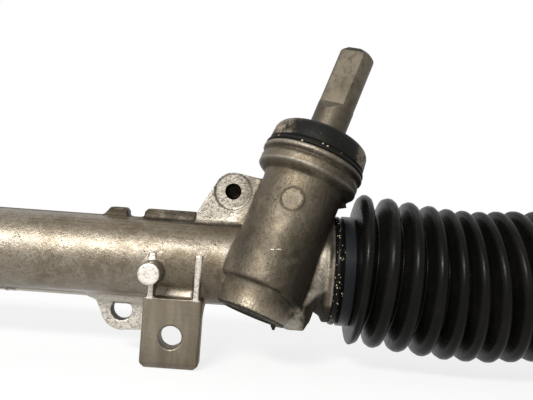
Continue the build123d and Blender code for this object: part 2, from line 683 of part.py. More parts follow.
def oil_seal():
    """Lip seal between the nut and the shaft."""
    top = TOWER_TOP - SNUG
    low = top - SEAL_HEIGHT + SNUG
    lip = SEAL_TRACK_D / 2 + RUNNING
    return PINION * turned([
        (lip + 2.4, low),
        (SEAL_D / 2, low),
        (SEAL_D / 2, top),
        (lip + 1.2, top),
        (lip, top - 1.6),
        (lip, top - 2.6),
        (lip + 1.6, top - 1.9),
        (lip + 2.4, top - 1.9),
    ])


def dust_cap():
    """Rubber cap that sits on the collar's rim and closes on the shaft."""
    low = TOWER_TOP
    top = TOWER_TOP + CAP_HEIGHT
    lip = SEAL_TRACK_D / 2 + RUNNING
    side = CAP_D / 2
    return PINION * turned([
        (side - CAP_WALL - 1.6, low),
        (side, low),
        (side + 0.2, low + CAP_LIP / 2),
        (side, low + CAP_LIP),
        (side - CAP_GROOVE, low + CAP_LIP + 0.3),
        (side - CAP_GROOVE, low + CAP_LIP + 0.9),
        (side - 0.6, low + CAP_LIP + 1.5),
        (side - 1.0, top - 3.0),
        (CAP_TOP_D / 2 + 0.3, top - 1.0),
        (CAP_TOP_D / 2 - 1.0, top),
        (lip + 5.0, top - 0.6),
        (lip + 3.0, top - 1.4),
        (lip, top - 1.0),
        (lip, top - 2.6),
        (lip + 3.0, top - 3.2),
        (CAP_TOP_D / 2 - 3.0, top - CAP_WALL),
        (side - CAP_WALL - 0.8, top - CAP_WALL - 2.2),
    ])


# ---- rack guide ----
def rack_guide():
    """Guide block that presses the rack into the pinion, saddle-shaped where it meets the rack."""
    block = rod(GUIDE_D, GUIDE_START, GUIDE_END)
    saddle = Rot(0, 90, 0) * rod(RACK_D + 2 * LINER_THICKNESS + 4 * SNUG, -GUIDE_D, GUIDE_D)
    groove_r = GUIDE_D / 2 - O_RING_D - SNUG
    groove = ring(GUIDE_D + 1, 2 * groove_r, O_RING_AT - O_RING_D * 0.6, O_RING_AT + O_RING_D * 0.6)
    return GUIDE * (block - saddle - groove)


def guide_liner():
    """Thin low-friction saddle between the guide and the rack."""
    sleeve = Rot(0, 90, 0) * ring(RACK_D + 2 * LINER_THICKNESS + 2 * SNUG, RACK_D + 2 * SNUG, -GUIDE_D, GUIDE_D)
    return GUIDE * (sleeve & rod(GUIDE_D - 2, GUIDE_START, GUIDE_END))


def guide_o_ring():
    """Ring that keeps the guide from rattling in its bore."""
    return GUIDE * Pos(0, 0, O_RING_AT) * Torus(GUIDE_D / 2 - O_RING_D / 2, O_RING_D / 2)


def disc_springs():
    """Two cupped washers back to back between guide and plug."""
    rise, thick = DISC_SPRING_RISE, DISC_SPRING_THICKNESS
    low = GUIDE_END + SNUG
    inner, outer = 5.0, 11.5
    first = turned([(inner, low + rise), (outer, low), (outer, low + thick), (inner, low + rise + thick)])
    lift = rise + thick + SNUG
    second = turned([(inner, low + lift), (outer, low + lift + rise), (outer, low + lift + rise + thick),
                     (inner, low + lift + thick)])
    return [GUIDE * first, GUIDE * second]


def guide_plug():
    """Threaded plug that sets the guide's play, with a hexagon socket."""
    body = rod(GUIDE_PLUG_D, GUIDE_PLUG_START, GUIDE_PLUG_END)
    socket = hexagon(PLUG_SOCKET_AF, GUIDE_PLUG_END - PLUG_SOCKET_DEPTH, GUIDE_PLUG_END + 1)
    return GUIDE * (body - socket)


def guide_lock_nut():
    """Thin nut that locks the plug against the barrel."""
    low = GUIDE_BARREL_END
    nut = hexagon(LOCK_NUT_AF, low, low + LOCK_NUT_HEIGHT)
    return GUIDE * (nut - rod(GUIDE_PLUG_D + 2 * SNUG, low - 1, low + LOCK_NUT_HEIGHT + 1))


# ---- far end bush ----
def rack_bush():
    """Plastic bush that carries the plain end of the rack, slit so that it can be fitted."""
    low = BUSH_INSET - HOUSING_END
    bush = ring(BUSH_OD, RACK_D + 2 * RUNNING, low, low + BUSH_LENGTH)
    slit = Pos(BUSH_OD / 2, 0, low + BUSH_LENGTH / 2) * Box(BUSH_OD / 2, 2.0, BUSH_LENGTH - 6)
    return ALONG_X * (bush - slit)


def bush_snap_ring():
    """Snap ring that keeps the bush in its seat."""
    low = BUSH_INSET - HOUSING_END - SNAP_RING_WIDTH - SNUG
    gap = Pos(SNAP_RING_D / 2, 0, low) * Box(SNAP_RING_D / 2, 6.0, 4 * SNAP_RING_WIDTH)
    return ALONG_X * (ring(SNAP_RING_D - 2 * SNUG, RACK_BORE_D, low, low + SNAP_RING_WIDTH) - gap)


# ---- inner ball joint and tie rod, drawn for the +X end ----
def stop_washer():
    """Washer clamped between rack and joint, which meets the housing at full travel."""
    return ALONG_X * ring(STOP_WASHER_D, RACK_THREAD_D + 2 * SNUG, RACK_END, JOINT_FACE)


def inner_joint():
    """Socket screwed into the rack's end, with a crimped mouth for the ball."""
    cavity = BALL_JOINT_D / 2 + 2 * LINER_GAP + BALL_LINER_WALL
    body = turned([
        (0, RACK_END - RACK_THREAD_DEPTH + 2),
        (RACK_THREAD_D / 2 - 1, RACK_END - RACK_THREAD_DEPTH + 2),
        (RACK_THREAD_D / 2, RACK_END - RACK_THREAD_DEPTH + 3),
        (RACK_THREAD_D / 2, JOINT_FACE),
        (JOINT_D / 2 - 1, JOINT_FACE),
        (JOINT_D / 2, JOINT_FACE + 1),
        (JOINT_D / 2, BALL_X + 1),
        (JOINT_D / 2 - 1.6, BALL_X + JOINT_REACH),
        (0, BALL_X + JOINT_REACH),
    ])
    sides = Pos(0, 0, JOINT_FACE) * Box(
        JOINT_D + 2, JOINT_FLAT_AF, JOINT_FRONT - 4, align=(Align.CENTER, Align.CENTER, Align.MIN))
    flats = ring(JOINT_D + 8, 0.1, JOINT_FACE, JOINT_FACE + JOINT_FRONT - 4) - sides
    hollow = Pos(0, 0, BALL_X) * Sphere(cavity)
    return ALONG_X * (body - flats - hollow)


def ball_liner():
    """Plastic shell round the ball, open toward the rod."""
    inner = BALL_JOINT_D / 2 + LINER_GAP
    shell = Sphere(inner + BALL_LINER_WALL) - Sphere(inner)
    mouth = math.radians(LINER_MOUTH)
    reach = 2 * BALL_JOINT_D
    cone = turned([(0, 0), (reach * math.sin(mouth), reach * math.cos(mouth)), (0, reach)])
    return ALONG_X * Pos(0, 0, BALL_X) * (shell - cone)


def tie_rod():
    """Inner tie rod: ball, waisted neck, rod with a spanner flat, and threaded end."""
    ball_r = BALL_JOINT_D / 2
    neck_at = math.sqrt(ball_r ** 2 - (NECK_D / 2) ** 2)
    thread_low = ROD_LENGTH - ROD_THREAD_LENGTH
    nut_low = ROD_LENGTH - JAM_NUT_INSET - ENGAGED_MARGIN
    nut_high = ROD_LENGTH - JAM_NUT_INSET + JAM_NUT_HEIGHT + ENGAGED_MARGIN
    shank = turned([
        (0, 0),
        (NECK_D / 2, 0),
        (NECK_D / 2, neck_at + 8),
        (ROD_D / 2, neck_at + 14),
        (ROD_D / 2, thread_low),
        (ROD_THREAD_D / 2, thread_low),
        (ROD_THREAD_D / 2, nut_low),
        (ENGAGED_THREAD_D / 2, nut_low),
        (ENGAGED_THREAD_D / 2, nut_high),
        (ROD_THREAD_D / 2, nut_high),
        (ROD_THREAD_D / 2, ROD_LENGTH - 1),
        (ROD_THREAD_D / 2 - 1, ROD_LENGTH),
        (0, ROD_LENGTH),
    ])
    flat_low = thread_low - 6 - ROD_FLAT_LENGTH
    keep = Pos(0, 0, flat_low) * Box(
        2 * ROD_D, ROD_FLAT_AF, ROD_FLAT_LENGTH, align=(Align.CENTER, Align.CENTER, Align.MIN))
    flats = rod(2 * ROD_D, flat_low, flat_low + ROD_FLAT_LENGTH) - keep
    return ALONG_X * Pos(0, 0, BALL_X) * (Sphere(ball_r) + shank - flats)


def jam_nut():
    """Nut that locks the outer rod end on the tie rod's thread."""
    low = BALL_X + ROD_LENGTH - JAM_NUT_INSET
    nut = hexagon(JAM_NUT_AF, low, low + JAM_NUT_HEIGHT)
    return ALONG_X * (nut - rod(ENGAGED_THREAD_D + 2 * SNUG, low - 1, low + JAM_NUT_HEIGHT + 1))


# ---- boot and its clamps, drawn for the +X end ----
def boot_neck_start():
    """Where the boot's last fold runs into its neck."""
    return HOUSING_END + BOOT_FIRST_CREST + BOOT_PITCH * BOOT_CRESTS


def boot():
    """Hollow bellows from the housing's seat to the tie rod."""
    crest_r, valley_r = BOOT_D / 2, BOOT_VALLEY_D / 2
    cuff_low = LIP_AT + LIP_WIDTH + SNUG
    cuff_in = SEAT_D / 2 + SNUG
    neck_low = boot_neck_start()
    neck_high = neck_low + NECK_LENGTH
    neck_in = ROD_D / 2 + SNUG
    outer = [(cuff_in + CUFF_WALL, cuff_low), (cuff_in + CUFF_WALL, HOUSING_END - 1.0)]
    inner = [(cuff_in, cuff_low), (cuff_in, HOUSING_END)]
    for fold in range(BOOT_CRESTS):
        x = HOUSING_END + BOOT_FIRST_CREST + fold * BOOT_PITCH
        outer += [(crest_r, x - BOOT_CREST_FLAT / 2 + 1), (crest_r, x + BOOT_CREST_FLAT / 2 + 1)]
        inner += [(crest_r - BOOT_WALL, x + 1)]
        if fold < BOOT_CRESTS - 1:
            outer += [(valley_r, x + BOOT_PITCH / 2 + 1)]
            inner += [(valley_r - BOOT_WALL, x + BOOT_PITCH / 2 + 1)]
    outer += [(neck_in + NECK_WALL, neck_low), (neck_in + NECK_WALL, neck_high)]
    inner += [(neck_in, neck_low), (neck_in, neck_high)]
    return ALONG_X * turned(outer + list(reversed(inner)))


def boot_band():
    """Crimped band round the boot's large cuff."""
    inner = SEAT_D + 2 * SNUG + 2 * CUFF_WALL + 2 * SNUG
    low = HOUSING_END - BAND_INSET - BAND_WIDTH
    band = ring(inner + 2 * BAND_THICKNESS, inner, low, low + BAND_WIDTH)
    ear = Pos(inner / 2 + BAND_THICKNESS + 1.2, 0, low + BAND_WIDTH / 2) * Box(3.0, 6.0, BAND_WIDTH)
    return ALONG_X * (band + ear)


def boot_clip():
    """Spring wire clip round the boot's neck."""
    inner = ROD_D / 2 + SNUG + NECK_WALL + SNUG
    middle = boot_neck_start() + NECK_LENGTH / 2
    loop = Torus(inner + CLIP_WIRE / 2, CLIP_WIRE / 2)
    return ALONG_X * Pos(0, 0, middle) * loop


# ---- write the pieces ----
def both_ends(name, shape):
    """The same piece at the +X end and mirrored at the -X end."""
    solids = shape if isinstance(shape, list) else [shape]
    return {
        name + "_right": shape,
        name + "_left": [mirror(solid, Plane.YZ) for solid in solids],
    }


def all_pieces():
    """Every node of the rack by name."""
    inner_ring, outer_ring, balls, cage = bearing_pieces()
    pieces = {
        "rack_housing": rack_housing(),
        "rack_bar": rack_bar(),
        "pinion_shaft": pinion_shaft(),
        "bearing_inner_ring": inner_ring,
        "bearing_outer_ring": outer_ring,
        "bearing_balls": balls,
        "bearing_cage": cage,
        "shaft_circlip": shaft_circlip(),
        "needle_bush": needle_bush(),
        "tower_end_plug": end_plug(),
        "bearing_retaining_nut": retaining_nut(),
        "oil_seal": oil_seal(),
        "pinion_dust_cap": dust_cap(),
        "rack_guide": rack_guide(),
        "guide_liner": guide_liner(),
        "guide_o_ring": guide_o_ring(),
        "guide_disc_springs": disc_springs(),
        "guide_plug": guide_plug(),
        "guide_lock_nut": guide_lock_nut(),
        "rack_bush": rack_bush(),
        "bush_snap_ring": bush_snap_ring(),
    }
    pieces.update(both_ends("stop_washer", stop_washer()))
    pieces.update(both_ends("inner_joint", inner_joint()))
    pieces.update(both_ends("ball_liner", ball_liner()))
    pieces.update(both_ends("tie_rod", tie_rod()))
    pieces.update(both_ends("jam_nut", jam_nut()))
    pieces.update(both_ends("boot", boot()))
    pieces.update(both_ends("boot_band", boot_band()))
    pieces.update(both_ends("boot_clip", boot_clip()))
    return pieces


def write_pieces():
    """Move each piece to the datum and write it as one STEP file."""
    os.makedirs("parts", exist_ok=True)
    for name, shape in all_pieces().items():
        solids = shape if isinstance(shape, list) else [shape]
        placed = [DATUM * solid for each in solids for solid in each.solids()]
        export_step(placed[0] if len(placed) == 1 else Compound(children=placed), f"parts/{name}.step")
    print(f"rack moves {TRAVEL_PER_RADIAN:.4f} mm per radian of the pinion")
    print(f"centre distance {CENTRE_DISTANCE:.4f} mm, ball centres {2 * BALL_X:.1f} mm apart")


write_pieces()
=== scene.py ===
import json
import math

import bmesh
import bpy
import numpy as np
from mathutils import Matrix, Vector
from mathutils.bvhtree import BVHTree

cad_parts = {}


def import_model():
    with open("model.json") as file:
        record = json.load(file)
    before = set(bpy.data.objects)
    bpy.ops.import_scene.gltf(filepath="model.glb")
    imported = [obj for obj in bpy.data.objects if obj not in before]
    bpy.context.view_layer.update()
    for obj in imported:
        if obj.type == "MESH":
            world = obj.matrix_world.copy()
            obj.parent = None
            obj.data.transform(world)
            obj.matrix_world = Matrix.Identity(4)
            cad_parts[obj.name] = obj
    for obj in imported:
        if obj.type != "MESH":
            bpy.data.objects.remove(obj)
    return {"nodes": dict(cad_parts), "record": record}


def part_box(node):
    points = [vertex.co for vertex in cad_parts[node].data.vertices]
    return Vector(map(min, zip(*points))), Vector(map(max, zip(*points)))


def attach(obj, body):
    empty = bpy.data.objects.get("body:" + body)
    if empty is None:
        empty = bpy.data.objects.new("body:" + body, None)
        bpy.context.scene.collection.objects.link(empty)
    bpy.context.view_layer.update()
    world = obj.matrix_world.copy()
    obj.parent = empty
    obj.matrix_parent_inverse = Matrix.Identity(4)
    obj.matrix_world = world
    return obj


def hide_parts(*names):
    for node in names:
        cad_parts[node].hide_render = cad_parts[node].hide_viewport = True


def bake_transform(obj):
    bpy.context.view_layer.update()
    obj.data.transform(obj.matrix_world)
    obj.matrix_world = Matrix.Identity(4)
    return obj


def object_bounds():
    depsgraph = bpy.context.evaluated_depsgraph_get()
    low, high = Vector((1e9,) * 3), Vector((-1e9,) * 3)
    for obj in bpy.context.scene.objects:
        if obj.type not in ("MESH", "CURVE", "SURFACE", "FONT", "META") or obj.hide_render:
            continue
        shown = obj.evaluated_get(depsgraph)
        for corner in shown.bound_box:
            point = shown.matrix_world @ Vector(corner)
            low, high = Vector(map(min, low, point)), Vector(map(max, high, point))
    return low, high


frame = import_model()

# Steering rack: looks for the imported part, in metres and in its frame.
# +X towards the pinion end, +Y to the rear, +Z up.

cad_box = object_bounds()
scene = bpy.context.scene
nodes = frame["nodes"]

# ---- places, in millimetres ----
MM = 0.001
RACK_Y, RACK_Z = 18.0, 31.0                     # the rack's axis runs along X through here
PINION_AT = Vector((176.5, 2.5276, 35.0014))    # where the pinion's gear is centred
SHAFT_UP = Vector((0.317305, 0.237441, 0.918117))       # along the pinion's shaft, to its free end
TO_RACK = Vector((0, math.cos(math.radians(14.5)), -math.sin(math.radians(14.5))))
SHAFT_SIDE = SHAFT_UP.cross(TO_RACK)
SHAFT_RIGHT = (Vector((1, 0, 0)) - SHAFT_UP * SHAFT_UP.x).normalized()      # square to it, towards the boot
TOWER_LEAN = SHAFT_UP.x / SHAFT_UP.z
TUBE_R, TOWER_R = 17.6, 17.6
SEAM_X = 30.0                                   # the casting's fine and plain lengths meet here
FOOT_AT = (136.0, 0.0)                          # X and Z of the foot's bolt hole
EAR_AT = (111.8, 7.4)                           # X and Z of the lower ear's hole
BOSS_AT = (157.3, 62.6)                         # X and Z of the upper ear's tapped boss
BOSS_FACE_Y, BOSS_FACE_R = 13.3, 8.1
STUD_AT = (127.0, 27.0)                         # X and Z of the round stud beside the foot
STUD_FACE_Y, STUD_R = -10.7, 4.8
EAR_FACE_Y, UPPER_EAR_FACE_Y = 15.0, 13.2
FOOT_TOP, FOOT_HALF = 15.6, 13.0                # the milled face ends at this Z; half its width
FIN_AT, FIN_HALF = 9.65, 1.12                   # the fins, out from the foot's middle
TOE_X = 188.0                                   # the toe between the tower's end and the boot
LEAVES_HOUSING = 211.0                          # from here on a boot follows the rack
BAND_END = 210.4                                # the boot band's far edge


# ---- mesh helpers ----
def new_piece(name, bm, body=None, smooth=True):
    """A finished object from a bmesh drawn in millimetres."""
    bmesh.ops.scale(bm, vec=(MM, MM, MM), verts=bm.verts)
    mesh = bpy.data.meshes.new(name)
    bm.to_mesh(mesh)
    bm.free()
    if smooth:
        mesh.shade_smooth()
    piece = bpy.data.objects.new(name, mesh)
    scene.collection.objects.link(piece)
    if body:
        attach(piece, body)
    return piece


def applied(piece):
    """Bakes the piece's modifiers into its mesh."""
    graph = bpy.context.evaluated_depsgraph_get()
    mesh = bpy.data.meshes.new_from_object(piece.evaluated_get(graph))
    old = piece.data
    piece.modifiers.clear()
    piece.data = mesh
    bpy.data.meshes.remove(old)
    mesh.name = piece.name


def turned(bm, profile, steps, closed=False):
    """Spins a line of (distance along, radius) points about the X axis."""
    verts = [bm.verts.new((along, 0, radius)) for along, radius in profile]
    pairs = list(zip(verts, verts[1:] + verts[:1])) if closed else list(zip(verts, verts[1:]))
    edges = [bm.edges.new(pair) for pair in pairs]
    bmesh.ops.spin(bm, geom=verts + edges, cent=(0, 0, 0), axis=(1, 0, 0), dvec=(0, 0, 0),
                   angle=2 * math.pi, steps=steps, use_merge=True)
    bmesh.ops.remove_doubles(bm, verts=bm.verts, dist=1e-4)
    bmesh.ops.recalc_face_normals(bm, faces=bm.faces)


def cut_across(bm, place, side):
    """Cuts across X and drops what lies on that side of the place; gives the edges of the cut."""
    cut = bmesh.ops.bisect_plane(bm, geom=bm.verts[:] + bm.edges[:] + bm.faces[:],
                                 plane_co=(place, 0, 0), plane_no=(side, 0, 0), clear_outer=True)
    return [item for item in cut["geom_cut"] if isinstance(item, bmesh.types.BMEdge)]


def points_of(mesh):
    """Vertex places and normals in millimetres."""
    co = np.zeros(len(mesh.vertices) * 3, np.float32)
    mesh.vertices.foreach_get("co", co)
    normal = np.zeros(len(mesh.vertices) * 3, np.float32)
    mesh.vertex_normals.foreach_get("vector", normal)
    return co.reshape(-1, 3).astype(float) / MM, normal.reshape(-1, 3).astype(float)


def move_points(mesh, co):
    """Puts the vertices at new places, given in millimetres."""
    mesh.vertices.foreach_set("co", (co * MM).astype(np.float32).ravel())
    mesh.update()


def edges_of(mesh):
    """The two vertex numbers of every edge."""
    pairs = np.zeros(len(mesh.edges) * 2, np.int32)
    mesh.edges.foreach_get("vertices", pairs)
    return pairs.reshape(-1, 2)


def paint(mesh, name, values):
    """Stores one number per vertex for a material to read."""
    attribute = mesh.attributes.get(name) or mesh.attributes.new(name, "FLOAT", "POINT")
    attribute.data.foreach_set("value", np.clip(values, 0, 1).astype(np.float32))


def fade(value, low, high):
    """0 below low, 1 above high, smooth between; low may be above high."""
    t = np.clip((value - low) / (high - low), 0, 1)
    return t * t * (3 - 2 * t)


# ---- material helpers ----
class Finish:
    """A procedural material under construction."""

    def __init__(self, name):
        self.material = bpy.data.materials.new(name)
        self.material.use_nodes = True
        self.tree = self.material.node_tree
        self.tree.nodes.clear()
        self.shader = self.tree.nodes.new("ShaderNodeBsdfPrincipled")
        output = self.tree.nodes.new("ShaderNodeOutputMaterial")
        self.tree.links.new(self.shader.outputs[0], output.inputs["Surface"])
        self.where = self.tree.nodes.new("ShaderNodeTexCoord").outputs["Object"]

    def link(self, source, socket):
        """Feeds a socket from another node, or sets it to a value."""
        if hasattr(source, "is_output"):
            self.tree.links.new(source, socket)
        else:
            socket.default_value = source

    def noise(self, scale, detail=2.0, rough=0.5, distortion=0.0, where=None):
        node = self.tree.nodes.new("ShaderNodeTexNoise")
        self.link(where or self.where, node.inputs["Vector"])
        node.inputs["Scale"].default_value = scale
        node.inputs["Detail"].default_value = detail
        node.inputs["Roughness"].default_value = rough
        node.inputs["Distortion"].default_value = distortion
        return node.outputs[0]

    def cells(self, scale):
        """Distance from the nearest of many scattered points."""
        node = self.tree.nodes.new("ShaderNodeTexVoronoi")
        self.link(self.where, node.inputs["Vector"])
        node.inputs["Scale"].default_value = scale
        return node.outputs["Distance"]

    def stretched(self, x, y, z):
        """Places scaled along each axis, for marks that run one way."""
        node = self.tree.nodes.new("ShaderNodeMapping")
        self.link(self.where, node.inputs["Vector"])
        node.inputs["Scale"].default_value = (x, y, z)
        return node.outputs[0]

    def attribute(self, name):
        node = self.tree.nodes.new("ShaderNodeAttribute")
        node.attribute_name = name
        return node.outputs["Fac"]

    def span(self, source, low, high, out_low=0.0, out_high=1.0):
        """Eases from one value to another as the source goes from low to high."""
        node = self.tree.nodes.new("ShaderNodeMapRange")
        node.interpolation_type = "SMOOTHSTEP"
        self.link(source, node.inputs["Value"])
        for name, value in (("From Min", low), ("From Max", high),
                            ("To Min", out_low), ("To Max", out_high)):
            node.inputs[name].default_value = value
        return node.outputs[0]

    def along(self, axis):
        """One coordinate in millimetres."""
        node = self.tree.nodes.new("ShaderNodeSeparateXYZ")
        self.link(self.where, node.inputs[0])
        return self.sums("MULTIPLY", node.outputs[axis], 1000.0)

    def near(self, source, middle, reach, soft=0.25):
        """1 where the source lies within reach of a value."""
        gap = self.size_of(self.sums("SUBTRACT", source, middle))
        return self.span(gap, reach + soft, reach)

    def all_of(self, *parts):
        """The parts multiplied: 1 where each of them is."""
        total = parts[0]
        for part in parts[1:]:
            total = self.sums("MULTIPLY", total, part)
        return total

    def any_of(self, *parts):
        """The strongest of the parts."""
        total = parts[0]
        for part in parts[1:]:
            total = self.sums("MAXIMUM", total, part)
        return total

    def scaled(self, source, share):
        return self.sums("MULTIPLY", source, share)

    def rest_of(self, source):
        """1 less the source."""
        return self.sums("SUBTRACT", 1.0, source)

    def size_of(self, source):
        return self.sums("ABSOLUTE", source, 0.0)

    def sums(self, operation, a, b):
        """One step of arithmetic, on sources or numbers."""
        node = self.tree.nodes.new("ShaderNodeMath")
        node.operation = operation
        self.link(a, node.inputs[0])
        self.link(b, node.inputs[1])
        return node.outputs[0]

    def vectors(self, operation, a, b=(0, 0, 0)):
        """One step of vector arithmetic, as the node that does it."""
        node = self.tree.nodes.new("ShaderNodeVectorMath")
        node.operation = operation
        self.link(a, node.inputs[0])
        self.link(b, node.inputs[1])
        return node

    def blend(self, amount, a, b):
        """Goes from one colour to the other."""
        node = self.tree.nodes.new("ShaderNodeMix")
        node.data_type = "RGBA"
        self.link(amount, node.inputs["Factor"])
        self.link(a if hasattr(a, "is_output") else (*a, 1.0), node.inputs["A"])
        self.link(b if hasattr(b, "is_output") else (*b, 1.0), node.inputs["B"])
        return node.outputs["Result"]

    def bump(self, height, distance, strength, under=None):
        node = self.tree.nodes.new("ShaderNodeBump")
        node.inputs["Distance"].default_value = distance
        self.link(strength, node.inputs["Strength"])
        self.link(height, node.inputs["Height"])
        if under is not None:
            self.link(under, node.inputs["Normal"])
        return node.outputs[0]

    def done(self, colour, roughness, metallic, normal=None, specular=0.5):
        """Feeds the shader and gives the material."""
        self.link(colour if hasattr(colour, "is_output") else (*colour, 1.0),
                  self.shader.inputs["Base Color"])
        self.link(roughness, self.shader.inputs["Roughness"])
        self.link(metallic, self.shader.inputs["Metallic"])
        self.shader.inputs["Specular IOR Level"].default_value = specular
        if normal is not None:
            self.link(normal, self.shader.inputs["Normal"])
        return self.material


def dress(target, material):
    """Puts one material on a piece or on a carried CAD node."""
    piece = nodes[target] if isinstance(target, str) else target
    if not piece.material_slots:
        piece.data.materials.append(material)
    for place in piece.material_slots:
        place.material = material


# ---- finishes ----
CLEAN_CAST, STAINED_CAST = (0.185, 0.157, 0.116), (0.120, 0.094, 0.060)
PALE_CAST, GRAIN_SHADE = (0.225, 0.196, 0.152), (0.085, 0.068, 0.047)
BRIGHT_CAST_AND_HIGHLIGHT, PIT_SHADE = (0.60, 0.565, 0.505), (0.035, 0.028, 0.020)
MILLED, MILLED_DULL, MILLED_STAIN = (0.205, 0.172, 0.124), (0.150, 0.124, 0.088), (0.088, 0.072, 0.050)
# the grease tones also colour painted shade in corners, recesses, holes and on shaded sides
THIN_OIL_AND_SHADE, THICK_GREASE_AND_SHADE = (0.075, 0.053, 0.029), (0.012, 0.010, 0.007)


class Casting(Finish):
    """What the casting's finish is made of: its pits, milled faces, bright places with painted highlights,
    and grime with painted shade.
    """

    def __init__(self, name):
        super().__init__(name)
        self.x, self.y, self.z = (self.along(axis) for axis in range(3))
        self.grain = self.noise(900, 3, 0.7)
        self.front = self.near(self.y, 0.0, 0.4)
        self.from_foot = self.size_of(self.sums("SUBTRACT", self.size_of(self.x), FOOT_AT[0]))
        self.foot = self.all_of(self.front, self.span(self.z, FOOT_TOP + 0.3, FOOT_TOP - 0.3),
                                self.near(self.from_foot, 0.0, FOOT_HALF))

    def bore(self, at, radius):
        """1 inside a hole that runs front to back."""
        across = self.sums("SUBTRACT", self.x, at[0])
        high = self.sums("SUBTRACT", self.z, at[1])
        square = self.sums("ADD", self.sums("MULTIPLY", across, across), self.sums("MULTIPLY", high, high))
        return self.near(self.sums("POWER", square, 0.5), 0.0, radius, 0.3)

    def pits(self):
        """Small pits in patches, with one dense patch on the tube above the foot."""
        over_foot = self.all_of(self.near(self.x, FOOT_AT[0] + 1.0, 9.0, 4.0),
                                self.near(self.z, 42.6, 1.2, 1.6))
        patches = self.any_of(self.span(self.noise(95, 2, 0.5), 0.48, 0.66, 0.0, 0.8),
                              self.scaled(over_foot, 0.9))
        pits = self.all_of(self.rest_of(self.span(self.cells(640), 0.04, 0.22)), patches)
        return self.all_of(pits, self.rest_of(self.scaled(self.foot, 0.8)))

    def milled_face(self):
        """The feet's milled faces, stained in streaks that run down and darker at their lower ends."""
        streaks = self.noise(1.0, 3, 0.6, 0.1, self.stretched(260, 260, 24))
        smears = self.noise(1.0, 3, 0.6, 0.6, self.stretched(90, 90, 26))
        smears = self.all_of(self.span(smears, 0.38, 0.62), self.span(self.z, 6.0, -9.0, 0.30, 0.85))
        face = self.blend(self.span(streaks, 0.34, 0.66), MILLED, MILLED_DULL)
        face = self.blend(smears, face, MILLED_STAIN)
        return self.blend(self.span(self.z, 5.0, -11.0, 0.0, 0.42), face, MILLED_STAIN)

    def bright(self):
        """Bright metal, broken up by the grain: fins, stud, ears and what is painted bare, which also carries
        painted highlights.
        """
        fins = self.all_of(self.front, self.near(self.z, 25.4, 9.8),
                           self.near(self.from_foot, FIN_AT, FIN_HALF, 0.15),
                           self.span(self.grain, 0.36, 0.48, 0.22, 0.72))
        stud = self.all_of(self.near(self.y, STUD_FACE_Y, 0.8), self.bore(STUD_AT, STUD_R),
                           self.span(self.grain, 0.34, 0.46, 0.45, 0.92))
        ear = self.all_of(self.near(self.y, EAR_FACE_Y, 0.4), self.span(self.z, 14.6, 12.6),
                          self.near(self.x, 112.0, 14.0), self.span(self.grain, 0.32, 0.58, 0.22, 0.74))
        leaning = self.sums("SUBTRACT", self.x, self.scaled(self.z, TOWER_LEAN))
        upper_ear = self.all_of(self.near(self.y, UPPER_EAR_FACE_Y, 0.7), self.span(self.z, 46.5, 49.5),
                                self.near(leaning, 130.0, 14.5, 1.0),
                                self.span(self.grain, 0.32, 0.58, 0.04, 0.36))
        # the bare attribute holds rubbed metal and painted highlights alike; on the flare its painted light
        # is broken into streaks
        rubbed = self.all_of(self.attribute("bare_and_highlight"), self.span(self.grain, 0.3, 0.5, 0.55, 0.95))
        turning = self.noise(1.0, 3, 0.6, where=self.stretched(420, 50, 50))
        on_flare = self.near(self.x, 194.3, 4.6, 1.0)
        gaps = self.all_of(on_flare, self.span(turning, 0.40, 0.60, 0.75, 0.0))
        return self.any_of(self.all_of(rubbed, self.rest_of(gaps)), fins, ear, upper_ear, stud)

    def grime_and_shade(self):
        """Grease and painted shade: patchy where the painted value is low, whole where it is high, and
        painted shade inside the holes.
        """
        painted = self.attribute("grime_and_shade")
        thin = self.all_of(painted, self.span(self.noise(160, 3, 0.6), 0.25, 0.55, 0.75, 1.0))
        thick = self.span(painted, 0.80, 0.94, 0.0, 0.97)
        # painted shade inside the holes
        holes = self.any_of(self.all_of(self.bore(EAR_AT, 4.55), self.near(self.y, 18.6, 3.2)),
                            self.all_of(self.bore(FOOT_AT, 4.5), self.near(self.y, 4.6, 3.7)),
                            self.all_of(self.bore(BOSS_AT, 3.6), self.span(self.y, 13.7, 14.4)))
        return self.any_of(thin, thick, self.scaled(holes, 0.78))


def cast_aluminium():
    """Sand-textured casting: warm grey, pitted and dirty with painted shade, bright where machined or rubbed
    and with painted highlights.
    """
    f = Casting("cast_aluminium")
    stains = f.span(f.noise(42, 4, 0.6, 0.4), 0.42, 0.68)
    mottle = f.noise(230, 4, 0.65)
    pits = f.pits()
    grime_and_shade = f.grime_and_shade()
    colour = f.blend(stains, CLEAN_CAST, STAINED_CAST)
    colour = f.blend(f.span(mottle, 0.40, 0.66, 0.0, 0.7), colour, PALE_CAST)
    colour = f.blend(f.span(f.grain, 0.34, 0.52, 0.62, 0.0), colour, GRAIN_SHADE)
    colour = f.blend(f.foot, colour, f.milled_face())
    colour = f.blend(f.scaled(pits, 0.85), colour, PIT_SHADE)
    colour = f.blend(f.bright(), colour, BRIGHT_CAST_AND_HIGHLIGHT)
    # grease colour, also used for painted shade
    oil_and_shade = f.blend(f.span(grime_and_shade, 0.15, 0.65), THIN_OIL_AND_SHADE, THICK_GREASE_AND_SHADE)
    colour = f.blend(grime_and_shade, colour, oil_and_shade)
    dull = f.span(f.noise(120, 3, 0.6, 0.3), 0.40, 0.62, 0.0, 0.08)
    dull = f.sums("ADD", dull, f.scaled(grime_and_shade, 0.13))
    rough = f.sums("ADD", f.span(f.grain, 0.3, 0.7, 0.33, 0.50), dull)
    metallic = f.span(grime_and_shade, 0.78, 0.95, 0.85, 0.0)
    height = f.sums("SUBTRACT", f.scaled(f.grain, 0.7), pits)
    height = f.all_of(height, f.rest_of(f.scaled(f.foot, 0.7)))
    normal = f.bump(mottle, 0.0006, 0.25, f.bump(height, 0.00030, 0.9))
    f.link(normal, f.shader.inputs["Coat Normal"])
    f.link(f.span(grime_and_shade, 0.05, 0.40, 0.60, 0.0), f.shader.inputs["Coat Weight"])
    f.shader.inputs["Coat Roughness"].default_value = 0.32
    return f.done(colour, rough, metallic, normal, 0.08)


